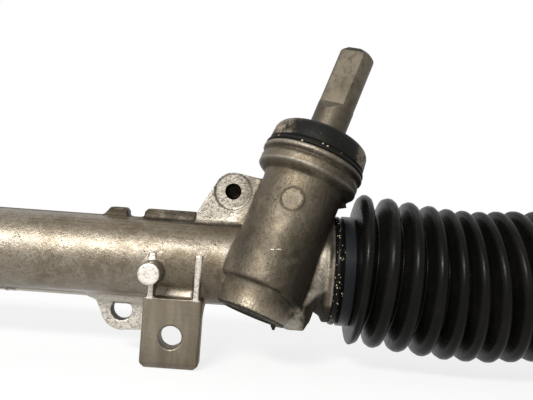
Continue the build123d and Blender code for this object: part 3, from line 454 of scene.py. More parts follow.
def steel(name, light, dark, rough, grain=(900, 900, 60), metal=0.95, wear=0.5):
    """Plain worked steel with fine marks drawn out along its length."""
    f = Finish(name)
    marks = f.noise(1.0, 3, 0.6, where=f.stretched(*grain))
    stain = f.span(f.noise(60, 4, 0.6, 0.3), 0.42, 0.68)
    colour = f.blend(f.scaled(stain, wear), light, dark)
    colour = f.blend(f.span(marks, 0.35, 0.7, 0.0, 0.25), colour, dark)
    finish = f.span(marks, 0.3, 0.7, rough - 0.06, rough + 0.08)
    return f.done(colour, finish, metal, f.bump(marks, 0.00006, 0.5))


SHAFT_CLEAN, SHAFT_STAINED = (0.112, 0.095, 0.071), (0.066, 0.055, 0.038)
SHAFT_BLOT, SHAFT_MARK = (0.052, 0.043, 0.030), (0.18, 0.16, 0.125)
# painted shade on the end chamfer; darker below the flat
SHAFT_TIP_SHADE, SHAFT_DARK_LOW = (0.045, 0.042, 0.036), (0.05, 0.042, 0.03)
TIP_FROM, FLAT_FROM = 100.7, 73.4               # along the shaft: its end chamfer, the flat's lower end


def shaft_steel():
    """Worked steel of the pinion shaft: stained flat, darker below it, painted shade on the end chamfer."""
    f = Finish("machined_steel")
    marks = f.noise(1.0, 3, 0.6, where=f.stretched(900, 900, 200))
    stain = f.span(f.noise(75, 4, 0.65, 0.4), 0.40, 0.64)
    blots = f.span(f.noise(320, 3, 0.65), 0.30, 0.52, 0.75, 0.0)
    from_pinion = f.vectors("SUBTRACT", f.where, PINION_AT * MM).outputs[0]
    up = f.scaled(f.vectors("DOT_PRODUCT", from_pinion, SHAFT_UP).outputs["Value"], 1 / MM)
    tip = f.span(up, TIP_FROM, TIP_FROM + 0.4)
    below_flat = f.span(up, FLAT_FROM, FLAT_FROM - 2.0)
    colour = f.blend(stain, SHAFT_CLEAN, SHAFT_STAINED)
    colour = f.blend(blots, colour, SHAFT_BLOT)
    colour = f.blend(f.span(marks, 0.35, 0.7, 0.0, 0.2), colour, SHAFT_MARK)
    # painted shade on the end chamfer
    colour = f.blend(tip, colour, SHAFT_TIP_SHADE)
    colour = f.blend(f.scaled(below_flat, 0.45), colour, SHAFT_DARK_LOW)
    finish = f.sums("SUBTRACT", f.span(marks, 0.3, 0.7, 0.46, 0.62), f.scaled(tip, 0.24))
    return f.done(colour, finish, 0.95, f.bump(marks, 0.00008, 0.6))


# swarf specks, as bright as painted glints
SWARF_AND_GLINT, CAP_SWARF_AND_GLINT = (0.55, 0.46, 0.30), (0.50, 0.42, 0.28)
CAP_BLACK, CAP_BLOOM, CAP_RUBBED = (0.0045, 0.0045, 0.0036), (0.0100, 0.0092, 0.0072), (0.185, 0.155, 0.112)


def rubber(name, colour, dust, rough, dusting, specular):
    """Moulded rubber with a faint bloom, a little dust and swarf specks with painted glints where it is
    painted greasy.
    """
    f = Finish(name)
    bloom = f.span(f.noise(45, 4, 0.62, 0.2), 0.42, 0.72)
    speck = f.noise(700, 3, 0.65)
    tone = f.blend(f.scaled(bloom, dusting), colour, dust)
    drops = f.all_of(f.span(f.cells(700), 0.26, 0.14), f.span(f.noise(260, 3, 0.6), 0.46, 0.54),
                     f.attribute("greasy"))
    tone = f.blend(drops, tone, SWARF_AND_GLINT)
    finish = f.span(speck, 0.3, 0.7, rough - 0.05, rough + 0.07)
    return f.done(tone, finish, 0.0, f.bump(speck, 0.00007, 0.6), specular)


def cap_rubber():
    """Old black rubber, rubbed brown-grey on its band, with specks of swarf in its grease that shine as
    painted glints.
    """
    f = Finish("cap_rubber")
    bloom = f.span(f.noise(70, 4, 0.62, 0.2), 0.42, 0.70)
    grain = f.noise(800, 3, 0.65)
    tone = f.blend(bloom, CAP_BLACK, CAP_BLOOM)
    rubbed = f.all_of(f.attribute("rubbed"), f.span(f.noise(190, 4, 0.7), 0.36, 0.60))
    tone = f.blend(rubbed, tone, CAP_RUBBED)
    specks = f.all_of(f.span(f.cells(520), 0.28, 0.14), f.span(f.noise(130, 2, 0.5), 0.48, 0.56),
                      f.attribute("greasy"))
    tone = f.blend(specks, tone, CAP_SWARF_AND_GLINT)
    finish = f.span(grain, 0.3, 0.7, 0.46, 0.62)
    return f.done(tone, finish, 0.0, f.bump(grain, 0.00012, 0.7), 0.10)


def polymer(name, colour, rough):
    """Moulded polymer, a little uneven in tone."""
    f = Finish(name)
    speck = f.noise(500, 3, 0.6)
    tone = f.blend(f.span(speck, 0.3, 0.7, 0.0, 0.35), colour, tuple(c * 0.6 for c in colour))
    return f.done(tone, rough, 0.0, f.bump(speck, 0.00004, 0.4))


finishes = {
    "cast_aluminium": cast_aluminium(),
    "ground_steel": steel("ground_steel", (0.36, 0.34, 0.30), (0.20, 0.18, 0.15), 0.30),
    "machined_steel": shaft_steel(),
    "bearing_steel": steel("bearing_steel", (0.50, 0.49, 0.47), (0.38, 0.37, 0.35), 0.16, wear=0.2),
    "spring_steel": steel("spring_steel", (0.20, 0.19, 0.18), (0.12, 0.11, 0.10), 0.38),
    "dark_steel": steel("dark_steel", (0.10, 0.095, 0.09), (0.05, 0.045, 0.04), 0.45),
    "plated_steel": steel("plated_steel", (0.46, 0.42, 0.33), (0.30, 0.27, 0.20), 0.30),
    "band_steel": steel("band_steel", (0.0095, 0.0108, 0.0125), (0.006, 0.006, 0.006), 0.36, metal=0.8),
    "sintered_metal": steel("sintered_metal", (0.30, 0.27, 0.22), (0.18, 0.16, 0.13), 0.55, (700, 700, 700)),
    "boot_rubber": rubber("boot_rubber", (0.0028, 0.0028, 0.0024), (0.0085, 0.0075, 0.0062), 0.30, 0.5, 0.07),
    "cap_rubber": cap_rubber(),
    "seal_rubber": rubber("seal_rubber", (0.012, 0.011, 0.010), (0.025, 0.023, 0.020), 0.50, 0.4, 0.3),
    "bearing_polymer": polymer("bearing_polymer", (0.55, 0.53, 0.48), 0.42),
    "cage_polymer": polymer("cage_polymer", (0.34, 0.26, 0.14), 0.45),
}


def dress_nodes():
    """Every carried node takes its slot's finish."""
    for entry in frame["record"]["subparts"]:
        dress(entry["node"], finishes[entry["material_slot"]])


# ---- cast housing ----
WEBS = [                                        # (place, radius) along each ridge and fillet of the casting
    [((187.4, 2.4, 12.0), 3.4), ((188.6, 2.0, 15.6), 3.2),
     ((194.4, 1.4, 22.8), 2.8), ((199.0, -1.6, 28.0), 2.2)],                # from the toe up to the lip
    [((178.6, -4.2, 11.6), 2.4), ((183.6, -1.4, 11.2), 2.8), ((188.0, 1.0, 10.4), 3.0)],  # tower's end to toe
    [((178.2, -3.6, 9.8), 1.3), ((178.6, -3.6, 7.6), 0.9)],                 # spur under the tower's end
    [((97.5, 16.6, 14.0), 2.4), ((103.0, 15.9, 12.7), 2.8), ((121.5, 15.9, 12.7), 2.8)],  # over the ear
    [((127.6, 6.2, 17.4), 3.0), ((144.4, 6.2, 17.4), 3.0)],                 # above the foot
    [((64.0, 16.7, 13.0), 1.1), ((44.0, 16.7, 13.4), 1.1), ((38.0, 17.6, 14.8), 0.9)],      # parting line
    [((181.2, -13.8, 23.4), 1.2), ((184.4, -12.0, 21.2), 1.5),
     ((186.8, -7.6, 18.6), 1.8), ((188.0, -2.0, 16.0), 2.0)],               # from the tower's side to the toe
]
RIDGE = ([188.1, 194.7, 200.7], [16.1, 23.7, 29.8])     # X and Z along the web that runs up to the lip
COLLAR_RELIEF = ([34.2, 35.4, 36.6, 37.6, 38.8, 41.4, 42.4, 43.4, 44.3, 44.8],      # along the shaft
                 [0.0, -0.70, -0.1, 0.45, 0.0, -0.1, -1.00, -1.00, 0.0, 0.0])       # in or out of the collar
HOLLOW_DEPTH = 2.0                              # how far the hollow under that web goes in
PAD_UP, PAD_KEEP = 23.3, 6.6                    # the round pad on the tower's front
FACED_DEPTH = 0.35                              # the spot face on the upper ear
PLAIN_TO, PLAIN_FILL, MOST_FILL = 92, 0.3, 12.0     # left of this X hardly anything fills
PAST_END = 240.0
LAP = 0.1                                       # each length runs this far past the seam
FINE_VOXEL, PLAIN_VOXEL = ((0.5, 0.75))
FINE_TRIANGLES, PLAIN_TRIANGLES = 164000, 30000
FILL_ROUNDS = 90


def distance_to_line(co, origin, direction):
    """How far along a line each point lies, and how far from it."""
    offset = co - np.array(origin)
    along = offset @ np.array(direction)
    return along, np.linalg.norm(offset - along[:, None] * np.array(direction), axis=1)


class Places:
    """Where a mesh's points lie, in millimetres, along and around the casting's axes."""

    def __init__(self, mesh):
        self.co, self.normals = points_of(mesh)
        self.x, self.y, self.z = self.co.T
        _, self.from_rack = distance_to_line(self.co, (0, RACK_Y, RACK_Z), (1, 0, 0))
        self.up, self.from_shaft = distance_to_line(self.co, PINION_AT, SHAFT_UP)
        self.side = (self.co - np.array(PINION_AT)) @ np.array(SHAFT_RIGHT)

    def around(self, x, z):
        """Distance from a line that runs front to back."""
        return np.hypot(self.x - x, self.z - z)

    def bored(self):
        """True on the insides that stay as machined: for the rack, pinion, needle bush, bearing and guide."""
        guide_along, from_guide = distance_to_line(self.co, (PINION_AT.x, RACK_Y, RACK_Z), TO_RACK)
        inside = (self.from_rack < 16.2) | ((self.from_shaft < 16.2) & (self.up > -9))
        inside |= (self.from_shaft < 12.4) & (self.up > -26)
        inside |= (self.from_shaft < 21.6) & (self.up > 38)
        return inside | ((from_guide < 15.6) & (guide_along > 0))

    def below_ridge(self):
        """The hollow between toe, web and lip."""
        under = fade(np.interp(self.x, *RIDGE) - self.z, 2.4, 5.0) * (self.y < 26)
        under *= fade(self.x, 191.0, 193.0) * fade(self.x, 199.6, 198.6)
        return under * fade(self.from_rack, 16.4, 17.2)


def relax(co, edges, weight, rounds, outward=None):
    """Evens out the skin; given normals it only fills inner corners, as a casting's fillets do."""
    edges = edges[(weight[edges] > 0.01).any(axis=1)]
    a, b = edges[:, 0], edges[:, 1]
    count = np.bincount(a, minlength=len(co)) + np.bincount(b, minlength=len(co))
    count = np.maximum(count, 1)[:, None]
    for _ in range(rounds):
        total = np.stack([np.bincount(a, co[b, k], len(co)) + np.bincount(b, co[a, k], len(co))
                          for k in range(3)], axis=1)
        step = total / count - co
        if outward is not None:
            step = outward * np.maximum((step * outward).sum(axis=1), 0)[:, None]
        co = co + 0.5 * weight[:, None] * step
    return co


def lump(bm, path):
    """A smooth ridge of cast metal: balls set close together along a path."""
    for (start, r0), (stop, r1) in zip(path, path[1:]):
        steps = max(2, int((Vector(stop) - Vector(start)).length / 0.6))
        for step in range(steps + 1):
            place = Vector(start).lerp(Vector(stop), step / steps)
            radius = r0 + (r1 - r0) * step / steps
            bmesh.ops.create_icosphere(bm, subdivisions=2, radius=radius, matrix=Matrix.Translation(place))


def skin_part(cut_from, cut_to, voxel, name):
    """A length of the casting between two planes across X, skinned as a mould would leave it."""
    bm = bmesh.new()
    bm.from_mesh(nodes["rack_housing"].data)
    bmesh.ops.remove_doubles(bm, verts=bm.verts, dist=1e-6)
    bmesh.ops.scale(bm, vec=(1 / MM, 1 / MM, 1 / MM), verts=bm.verts)
    for place, side in ((cut_from - 4, -1), (cut_to + 4, 1)):
        rim = cut_across(bm, place, side)
        if rim:
            bmesh.ops.triangle_fill(bm, edges=rim, use_beauty=True)
    bmesh.ops.recalc_face_normals(bm, faces=bm.faces)
    if cut_to == PAST_END:
        for path in WEBS:
            lump(bm, path)
    part = new_piece(name, bm)
    remesh = part.modifiers.new("skin", "REMESH")
    remesh.mode = "VOXEL"
    remesh.voxel_size = voxel * MM
    applied(part)
    return part


def corner_fill(at, co, bored):
    """How much an inner corner fills, from 0 where it stays sharp to 1."""
    x, y, z = at.x, at.y, at.z
    pad = np.array(PINION_AT + PAD_UP * SHAFT_UP) - np.array(TO_RACK) * TOWER_R
    fill = np.where(bored, 0.0, 1.0) * fade(x, 60, 80)
    fill *= 1 - fade(x, 197, 199)
    for there, share in (
            ((x < 152) & (z < 38), 0.7),                                    # round foot and lower ear
            ((z < 13.5) & (x < 152) & (y < 12), 0.0),                       # the foot itself
            ((x < 150) & (z > 46), 0.25),                                   # ribs on the tube
            ((at.around(*BOSS_AT) < 9.4) & (y < 22), 0.0),                  # upper ear's boss
            ((at.up > 36.4) & (at.from_shaft > 20), 0.05),                  # collar
            ((at.up < -8.5) & (at.up > -16) & (at.from_shaft < 19), 0.15),  # step near the tower's end
            (np.linalg.norm(co - pad, axis=1) < PAD_KEEP, 0.0)):            # round pad
        fill *= np.where(there, share, 1.0)
    return fill


def soften(mesh, rounds, fill_rounds):
    """Rounds the cast edges and fills the inner corners; bores and machined edges stay true."""
    at = Places(mesh)
    co, edges, bored = at.co, edges_of(mesh), at.bored()
    from_axis = co - np.array(PINION_AT) - at.up[:, None] * np.array(SHAFT_UP)
    collar = np.interp(at.up, *COLLAR_RELIEF) * (at.x > 160)
    collar *= fade(at.from_shaft, 17.0, 17.5) * fade(at.from_shaft, 24.2, 23.6)
    co = co + from_axis * (collar / np.maximum(at.from_shaft, 1e-3))[:, None]
    from_tube = np.stack([np.zeros(len(co)), at.y - RACK_Y, at.z - RACK_Z], axis=1)
    hollow = HOLLOW_DEPTH * at.below_ridge() * ~bored
    co = co - from_tube * (hollow / np.maximum(at.from_rack, 1e-3))[:, None]
    co = relax(co, edges, np.where(bored, 0.3, 0.8), rounds)
    move_points(mesh, co)

    _, normals = points_of(mesh)
    fill = corner_fill(at, co, bored)
    filled = relax(co, edges, fill, fill_rounds, normals) - co
    most = np.where(at.x < PLAIN_TO, PLAIN_FILL, MOST_FILL) / np.maximum(np.linalg.norm(filled, axis=1), 1e-6)
    co = co + filled * np.minimum(most, 1.0)[:, None]
    joint = fade(at.from_rack, 16.6, 17.0) * fade(at.from_rack, 25, 22) * fade(at.from_shaft, 16.6, 17.0)
    joint *= fade(at.from_shaft, 26, 22) * fade(at.x, 148, 152) * fade(at.x, 198, 196) * (at.up > -24)
    co = relax(co, edges, np.minimum(fill, joint), 2 * fill_rounds, normals)
    co = relax(co, edges, np.where(bored, 0.0, 0.7), 1)
    faced = (np.abs(co[:, 1] - BOSS_FACE_Y) < 1.0) & (at.around(*BOSS_AT) < BOSS_FACE_R)
    co[:, 1] += FACED_DEPTH * (faced & (normals[:, 1] < -0.8))
    move_points(mesh, co)


def round_tube(mesh):
    """Shades the plain tube as a true cylinder, whatever its triangles."""
    co, normals = points_of(mesh)
    out = np.stack([np.zeros(len(co)), co[:, 1] - RACK_Y, co[:, 2] - RACK_Z], axis=1)
    from_rack = np.linalg.norm(out, axis=1)
    out /= np.maximum(from_rack, 1e-3)[:, None]
    facing = ((normals * out).sum(axis=1) > 0.96) | (np.abs(co[:, 0] - SEAM_X) < 0.5)
    plain = (np.abs(from_rack - TUBE_R) < 0.2) & facing & (np.abs(co[:, 0]) < 150)
    normals[plain] = out[plain]
    mesh.normals_split_custom_set_from_vertices(normals)


def housing_skin():
    """The casting: fine skin from the plain tube to the pinion end, coarser along the rest."""
    right = skin_part(SEAM_X, PAST_END, FINE_VOXEL, "skin_right")
    left = skin_part(-PAST_END, SEAM_X, PLAIN_VOXEL, "skin_left")
    soften(right.data, 2, FILL_ROUNDS)
    soften(left.data, 1, 0)
    for part, most in ((right, FINE_TRIANGLES), (left, PLAIN_TRIANGLES)):
        triangles = sum(len(p.vertices) - 2 for p in part.data.polygons)
        if triangles > most:
            thin = part.modifiers.new("thin", "DECIMATE")
            thin.ratio = most / triangles
            applied(part)
    bm = bmesh.new()
    for part, side in ((right, -1), (left, 1)):
        length = bmesh.new()
        length.from_mesh(part.data)
        rim = cut_across(length, (SEAM_X + LAP * side) * MM, side)
        bmesh.ops.triangle_fill(length, edges=rim, use_beauty=True)
        length.to_mesh(part.data)
        length.free()
        bm.from_mesh(part.data)
        bpy.data.objects.remove(part)
    bmesh.ops.scale(bm, vec=(1 / MM, 1 / MM, 1 / MM), verts=bm.verts)
    piece = new_piece("cast_housing", bm, "housing")
    mark_housing(piece.data)
    round_tube(piece.data)
    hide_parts("rack_housing")
    dress(piece, finishes["cast_aluminium"])
    return piece


# ---- marks on the casting: each is a patch with soft ends, times its strength ----
def strongest(*parts):
    """Point by point, the largest of the parts."""
    return np.maximum.reduce(parts)


def flare_of(at):
    """The cone that opens from the tower to the lip."""
    flare = fade(at.x, 188.5, 190.5) * fade(at.x, 200.0, 199.2) * fade(at.z, 15, 19)
    flare *= fade(at.from_rack, 16.8, 17.5) * fade(at.from_rack, 24.5, 23.0)
    return flare * fade(at.from_shaft, 18.0, 19.5)


def bare_metal_and_highlights(at):
    """Where the casting is rubbed bright, and where highlights and light are painted on edges, fillets, the
    toe and the flare.
    """
    x, y, z, up = at.x, at.y, at.z, at.up
    parting = fade(at.from_rack, 17.7, 18.0) * (z < 14.4) * (np.abs(x) < 186) * ((x < 99) | (x > 124))
    parting *= (at.normals[:, 1] < -0.3) * (y > 15.6) * (y < 17.8) * 0.95
    # painted highlight along the lip's edge, over a rubbed edge
    lip = fade(np.abs(x), 200.9, 201.5) * fade(z, 15, 20) * 0.55
    lip *= fade(at.from_rack, 21.6, 22.4) * fade(at.from_rack, 27, 25.5)
    # painted highlight lines on the collar's rim and step, whose edges are also rubbed
    collar_rim = fade(up, 44.0, 44.6) * fade(up, 46.3, 45.4) * fade(at.from_shaft, 22.0, 22.5) * 0.32
    collar_step = fade(up, 36.9, 37.6) * fade(up, 39.0, 38.0) * fade(at.from_shaft, 20.6, 21.4) * 0.34
    # painted light on the toe
    toe = fade(at.around(TOE_X, 8.5), 8, 4) * (y < 3) * 0.20
    # painted highlight in the fillet at the tower's root
    tower_root = fade(np.abs(x - 156.6), 2.2, 0.6) * fade(z, 16, 20) * fade(z, 44, 36) * (y < 10) * 0.16
    # painted light in the fillet over the lower ear, where shade would fall
    over_ear = fade(np.abs(x - 111), 17, 13) * fade(z, 19.5, 16.5) * (y > 9) * (y < 16) * 0.45
    over_ear *= fade(at.from_rack, 16.8, 17.4)
    # painted light on the flare, which faces away from the key lamp
    return strongest(parting, lip, collar_rim, collar_step, toe, flare_of(at) * 0.35, tower_root, over_ear)


def tower_grime_and_shade(at):
    """Dirt and painted shade on the tower: painted shade on its boot side, in the collar's coves, in the
    corner, behind it and on its end.
    """
    x, y, z, up, side = at.x, at.y, at.z, at.up, at.side
    barrel = fade(at.from_shaft, 26, 23) * fade(x, 156, 164) * fade(up, -26, -14) * fade(y, 26, 16)
    # painted shade: darker towards the tower's end and much darker on its boot side, on top of dirt
    barrel *= 0.47 + 0.15 * fade(up, 24, -2) + 0.40 * fade(side, 1, 16)
    barrel *= 1 - 0.12 * fade(up, 35, 38)
    # painted light: the flare and the toe are kept clear
    barrel *= 1 - 0.65 * flare_of(at) * fade(z, 50, 44)
    barrel *= 1 - 0.8 * fade(at.around(TOE_X, 11), 8, 4) * (y < 4)
    # painted shade in the collar's coves
    coves = strongest(fade(np.abs(up - 43.1), 1.4, 0.6) * 0.72, fade(np.abs(up - 35.5), 1.5, 0.5) * 0.60)
    coves *= fade(at.from_shaft, 16.8, 17.4) * (x > 165)
    # painted shade in the corner between the tower and the lip
    corner = fade(side, 7.5, 13) * fade(z, 38, 45) * fade(up, 37, 32) * 0.95
    corner *= strongest(fade(x, 203, 200), fade(at.from_rack, 23.5, 25))
    # painted shade in the niche behind the tower
    behind = fade(x, 190, 196) * fade(z, 50, 54) * fade(at.from_shaft, 18.0, 19.0) * fade(y, 9, 14) * 0.95
    # painted shade along the spot face's step and on the tower's end face
    boss_ring = fade(np.abs(at.around(*BOSS_AT) - BOSS_FACE_R), 0.8, 0.3) * (np.abs(y - 13.6) < 0.9) * 0.5
    end_face = (up < -23.6) * (at.from_shaft < 15.5) * 0.9
    return strongest(barrel, coves, corner, behind, boss_ring, end_face)


def tube_shade_and_dirt(at):
    """Painted shade along the tube's top and underside, on its ribs and round the foot, with some dirt
    between the fins.
    """
    x, y, z = at.x, at.y, at.z
    # painted shade on the tube's top, the upper ear's root, the underside and the top-lit ribs
    top = fade(z, 38, 46) * fade(z, 50, 48) * (0.14 + 0.30 * fade(x, 112, 140)) * (x < 164) * (y < 15)
    rib_root = fade(np.abs(z - 48.2), 1.8, 0.9) * (x > 118) * (x < 162) * (y > 9) * (y < 14.6) * 0.72
    underside = fade(z, 19, 14) * (x < 96) * 0.22
    ribs = fade(z, 47.8, 48.6) * (x < 146) * fade(np.abs(y - 18), 5, 4) * 0.80
    # painted shade, with some dirt, in the pocket between the fins and beside the foot
    between_fins = fade(np.abs(x - FOOT_AT[0]), 9.6, 8.4) * fade(np.abs(z - 26), 13, 9) * (y < 6) * 0.4
    between_fins *= fade(at.from_rack, 19.5, 18.2)
    beside_foot = fade(x, 146, 148) * fade(x, 160, 157) * fade(z, 40, 34) * 0.40
    return strongest(top, rib_root, underside, ribs, between_fins, beside_foot)


def end_shade_and_grease(at):
    """Painted shade with grease between the tower and the lip: in the valley, under the web and below the
    flare; darker on the lip's cone.
    """
    x, y, z = at.x, at.y, at.z
    # painted shade in the valley and at the tower's foot
    valley = fade(np.abs(x - (188.8 + 0.215 * (z - 23.7))), 3.2, 1.2) * fade(z, 17, 21) * (y < 12) * 0.92
    tower_foot = fade(np.linalg.norm(at.co - (181.6, -5.5, 15.8), axis=1), 5.0, 2.0) * 0.9
    valley = strongest(valley, tower_foot) * fade(x, 197.5, 196.0)
    # painted shade under the web and below the flare; darker on the lip's cone
    under_web = at.below_ridge() * 0.97
    cone = fade(x, 198.6, 199.6) * fade(x, 202.5, 201.8) * fade(at.from_rack, 17, 18) * 0.40
    underside = fade(x, 190.0, 191.5) * fade(x, 202.8, 202.4) * fade(z, 19.5, 16.5) * 0.97
    underside *= fade(at.from_rack, 16.6, 17.4)
    return strongest(valley, under_web, cone, underside)


def mark_housing(mesh):
    """Paints where the casting is rubbed bright or given painted highlights, and where grease, dirt and
    painted shade lie.
    """
    at = Places(mesh)
    paint(mesh, "bare_and_highlight", bare_metal_and_highlights(at))
    paint(mesh, "grime_and_shade", strongest(tower_grime_and_shade(at), tube_shade_and_dirt(at), end_shade_and_grease(at)))


# ---- bellows boots ----
FOLD_STEP = 9.35                                # the folds are even past the first nine
FOLDS = [213.4, 223.9, 233.9, 243.9, 252.7, 261.0, 269.6, 278.2, 286.9]
FOLDS += [FOLDS[-1] + FOLD_STEP * step for step in range(1, 9)]
FOLD_DROP = [1.5, 0.6, -0.5, -1.5, -2.3, -2.5, -2.4, -1.6, -0.8, -0.3] + [0.0] * 7
FOLD_TILT = [2.7, 4.0, 2.8, 1.2, -0.8, -3.0, -5.0, -7.0, -9.0, -8.0, -6.5, -5.0, -3.5, -2.5, -1.5, -0.8, 0.0]
CREST_R, VALLEY_R, BAND_SEAT_R = 33.0, 24.8, 23.03
NECK_AT, NECK_END = 370.9, 382.9
FIRST_BEND, SECOND_BEND, NECK_BEND = 332.0, 358.0, NECK_AT - 0.4
BOOT_WALL = 1.4
GREASE_TO = 206.0                               # the cuff is greasy up to here


def boot_profile(cuff_from):
    """Distance along and radius of the boot's outside, from its cuff to its neck."""
    line = [(cuff_from, 21.6), (cuff_from, 22.9), (cuff_from + 0.4, 23.6), (cuff_from + 1.4, 23.9),
            (cuff_from + 2.3, 23.7), (cuff_from + 2.9, BAND_SEAT_R), (BAND_END + 0.5, BAND_SEAT_R),
            (BAND_END + 0.8, 24.6)]
    for index, x in enumerate(FOLDS):
        before = (x - FOLDS[index - 1]) if index else 6.0
        after = (FOLDS[index + 1] - x) if index + 1 < len(FOLDS) else before
        line += [(x - 0.29 * before, 30.2), (x - 0.22 * before, 32.2), (x - 0.07 * before, CREST_R),
                 (x + 0.07 * after, CREST_R), (x + 0.22 * after, 32.2), (x + 0.29 * after, 30.2)]
        if index + 1 < len(FOLDS):
            line += [(x + 0.44 * after, VALLEY_R + 0.5), (x + 0.5 * after, VALLEY_R),
                     (x + 0.56 * after, VALLEY_R + 0.5)]
    end = FOLDS[-1]
    line += [(end + 4.2, 19.0), (end + 6.0, 12.6), (NECK_AT - 0.2, 10.4), (NECK_AT + 1.0, 9.6),
             (NECK_AT + 4.6, 9.0), (NECK_AT + 5.0, 8.95), (NECK_AT + 7.0, 8.95), (NECK_AT + 7.4, 9.0),
             (NECK_END - 1.2, 9.5), (NECK_END, 9.2), (NECK_END, 8.0)]
    return line


def sag(co):
    """Moves a straight boot's points as its folds droop and lean."""
    stations = np.array([BAND_END + 0.4] + FOLDS + [NECK_AT])
    drop = np.array([0.0] + FOLD_DROP + [0.0])
    tilt = np.radians(np.array([0.0] + FOLD_TILT + [0.0]))
    x = co[:, 0]
    here = np.interp(x, stations, drop)
    lean = np.interp(x, stations, tilt)
    return np.stack([x + np.sin(lean) * co[:, 2], co[:, 1], here + np.cos(lean) * co[:, 2]], axis=1)


def boot_segments(side):
    """One boot in four lengths, cut at its bends; only the last is attached, to the tie rod."""
    cuff_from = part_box("boot_right")[0].x / MM
    bm = bmesh.new()
    turned(bm, boot_profile(cuff_from), 96)
    co = sag(np.array([v.co for v in bm.verts]))
    for vert, place in zip(bm.verts, co):
        vert.co = place
    bmesh.ops.translate(bm, vec=(0, RACK_Y, RACK_Z), verts=bm.verts)
    mirror = 1 if side == "right" else -1
    if mirror == -1:
        bmesh.ops.scale(bm, vec=(-1, 1, 1), verts=bm.verts)
        bmesh.ops.reverse_faces(bm, faces=bm.faces)
    whole = new_piece("boot_whole_" + side, bm)
    wall = whole.modifiers.new("wall", "SOLIDIFY")
    wall.thickness = BOOT_WALL * MM
    wall.offset = -1
    applied(whole)

    bodies = ["housing", "rack", "ball_liner_" + side, "tie_rod_" + side]
    bends = [LEAVES_HOUSING, FIRST_BEND, SECOND_BEND, NECK_BEND]
    cuts = [cuff_from - 5] + bends[1:] + [NECK_END + 5]
    for index, body in enumerate(bodies):
        bm = bmesh.new()
        bm.from_mesh(whole.data)
        cut_across(bm, mirror * cuts[index] * MM, -mirror)
        cut_across(bm, mirror * cuts[index + 1] * MM, mirror)
        bmesh.ops.scale(bm, vec=(1 / MM, 1 / MM, 1 / MM), verts=bm.verts)
        piece = new_piece(f"boot_{side}_length_{index + 1}", bm)
        co, _ = points_of(piece.data)
        # where swarf specks with painted glints are laid
        paint(piece.data, "greasy", fade(np.abs(co[:, 0]), GREASE_TO + 0.4, GREASE_TO - 0.4))
        dress(piece, finishes["boot_rubber"])
        if body == bodies[-1]:
            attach(piece, body)
        else:
            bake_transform(piece)
        if body == "housing":
            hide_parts("boot_" + side)
    bpy.data.objects.remove(whole)


# ---- small marks ----
SCRATCHES = [                                   # X and Z of each end, on the front of the casting
    ((127.7, 33.9), (130.1, 35.7)), ((147.5, 34.0), (148.9, 35.0)),
    ((174.8, 40.8), (176.4, 40.7)), ((177.2, 40.9), (179.5, 41.1)), ((129.4, 34.6), (131.0, 35.6)),
]
SCRATCH_WIDTH, SCRATCH_LIFT = 0.085, 0.05       # half its width at the middle; how far it stands off the skin


def scratches(casting):
    """Fine bright scratches laid on the skin."""
    tree = BVHTree.FromPolygons([v.co / MM for v in casting.data.vertices],
                                [list(p.vertices) for p in casting.data.polygons])
    bm = bmesh.new()
    for start, stop in SCRATCHES:
        strip = bmesh.ops.create_grid(bm, x_segments=6, y_segments=1, size=0.5)["verts"]
        for vert in strip:
            share, side = vert.co.x + 0.5, math.copysign(1, vert.co.y)
            x, z = Vector(start).lerp(Vector(stop), share)
            width = SCRATCH_WIDTH * math.sin(math.pi * (0.10 + 0.80 * share))
            hit, normal, _, _ = tree.ray_cast(Vector((x, -60, z)), Vector((0, 1, 0)))
            aside = normal.cross(Vector((stop[0] - start[0], 0, stop[1] - start[1]))).normalized()
            vert.co = hit + normal * SCRATCH_LIFT + aside * side * width
    bmesh.ops.recalc_face_normals(bm, faces=bm.faces)
    for face in bm.faces:
        if face.normal.y > 0:
            face.normal_flip()
    piece = new_piece("casting_scratches", bm, "housing")
    paint(piece.data, "bare_and_highlight", np.ones(len(piece.data.vertices)))
    dress(piece, finishes["cast_aluminium"])


# ---- cap on the tower ----
def onto_shaft(bm):
    """Takes a piece drawn along X from the origin onto the pinion's axis."""
    turn = Matrix((SHAFT_UP, TO_RACK, SHAFT_SIDE)).transposed().to_4x4()
    bmesh.ops.transform(bm, matrix=Matrix.Translation(PINION_AT) @ turn, verts=bm.verts)


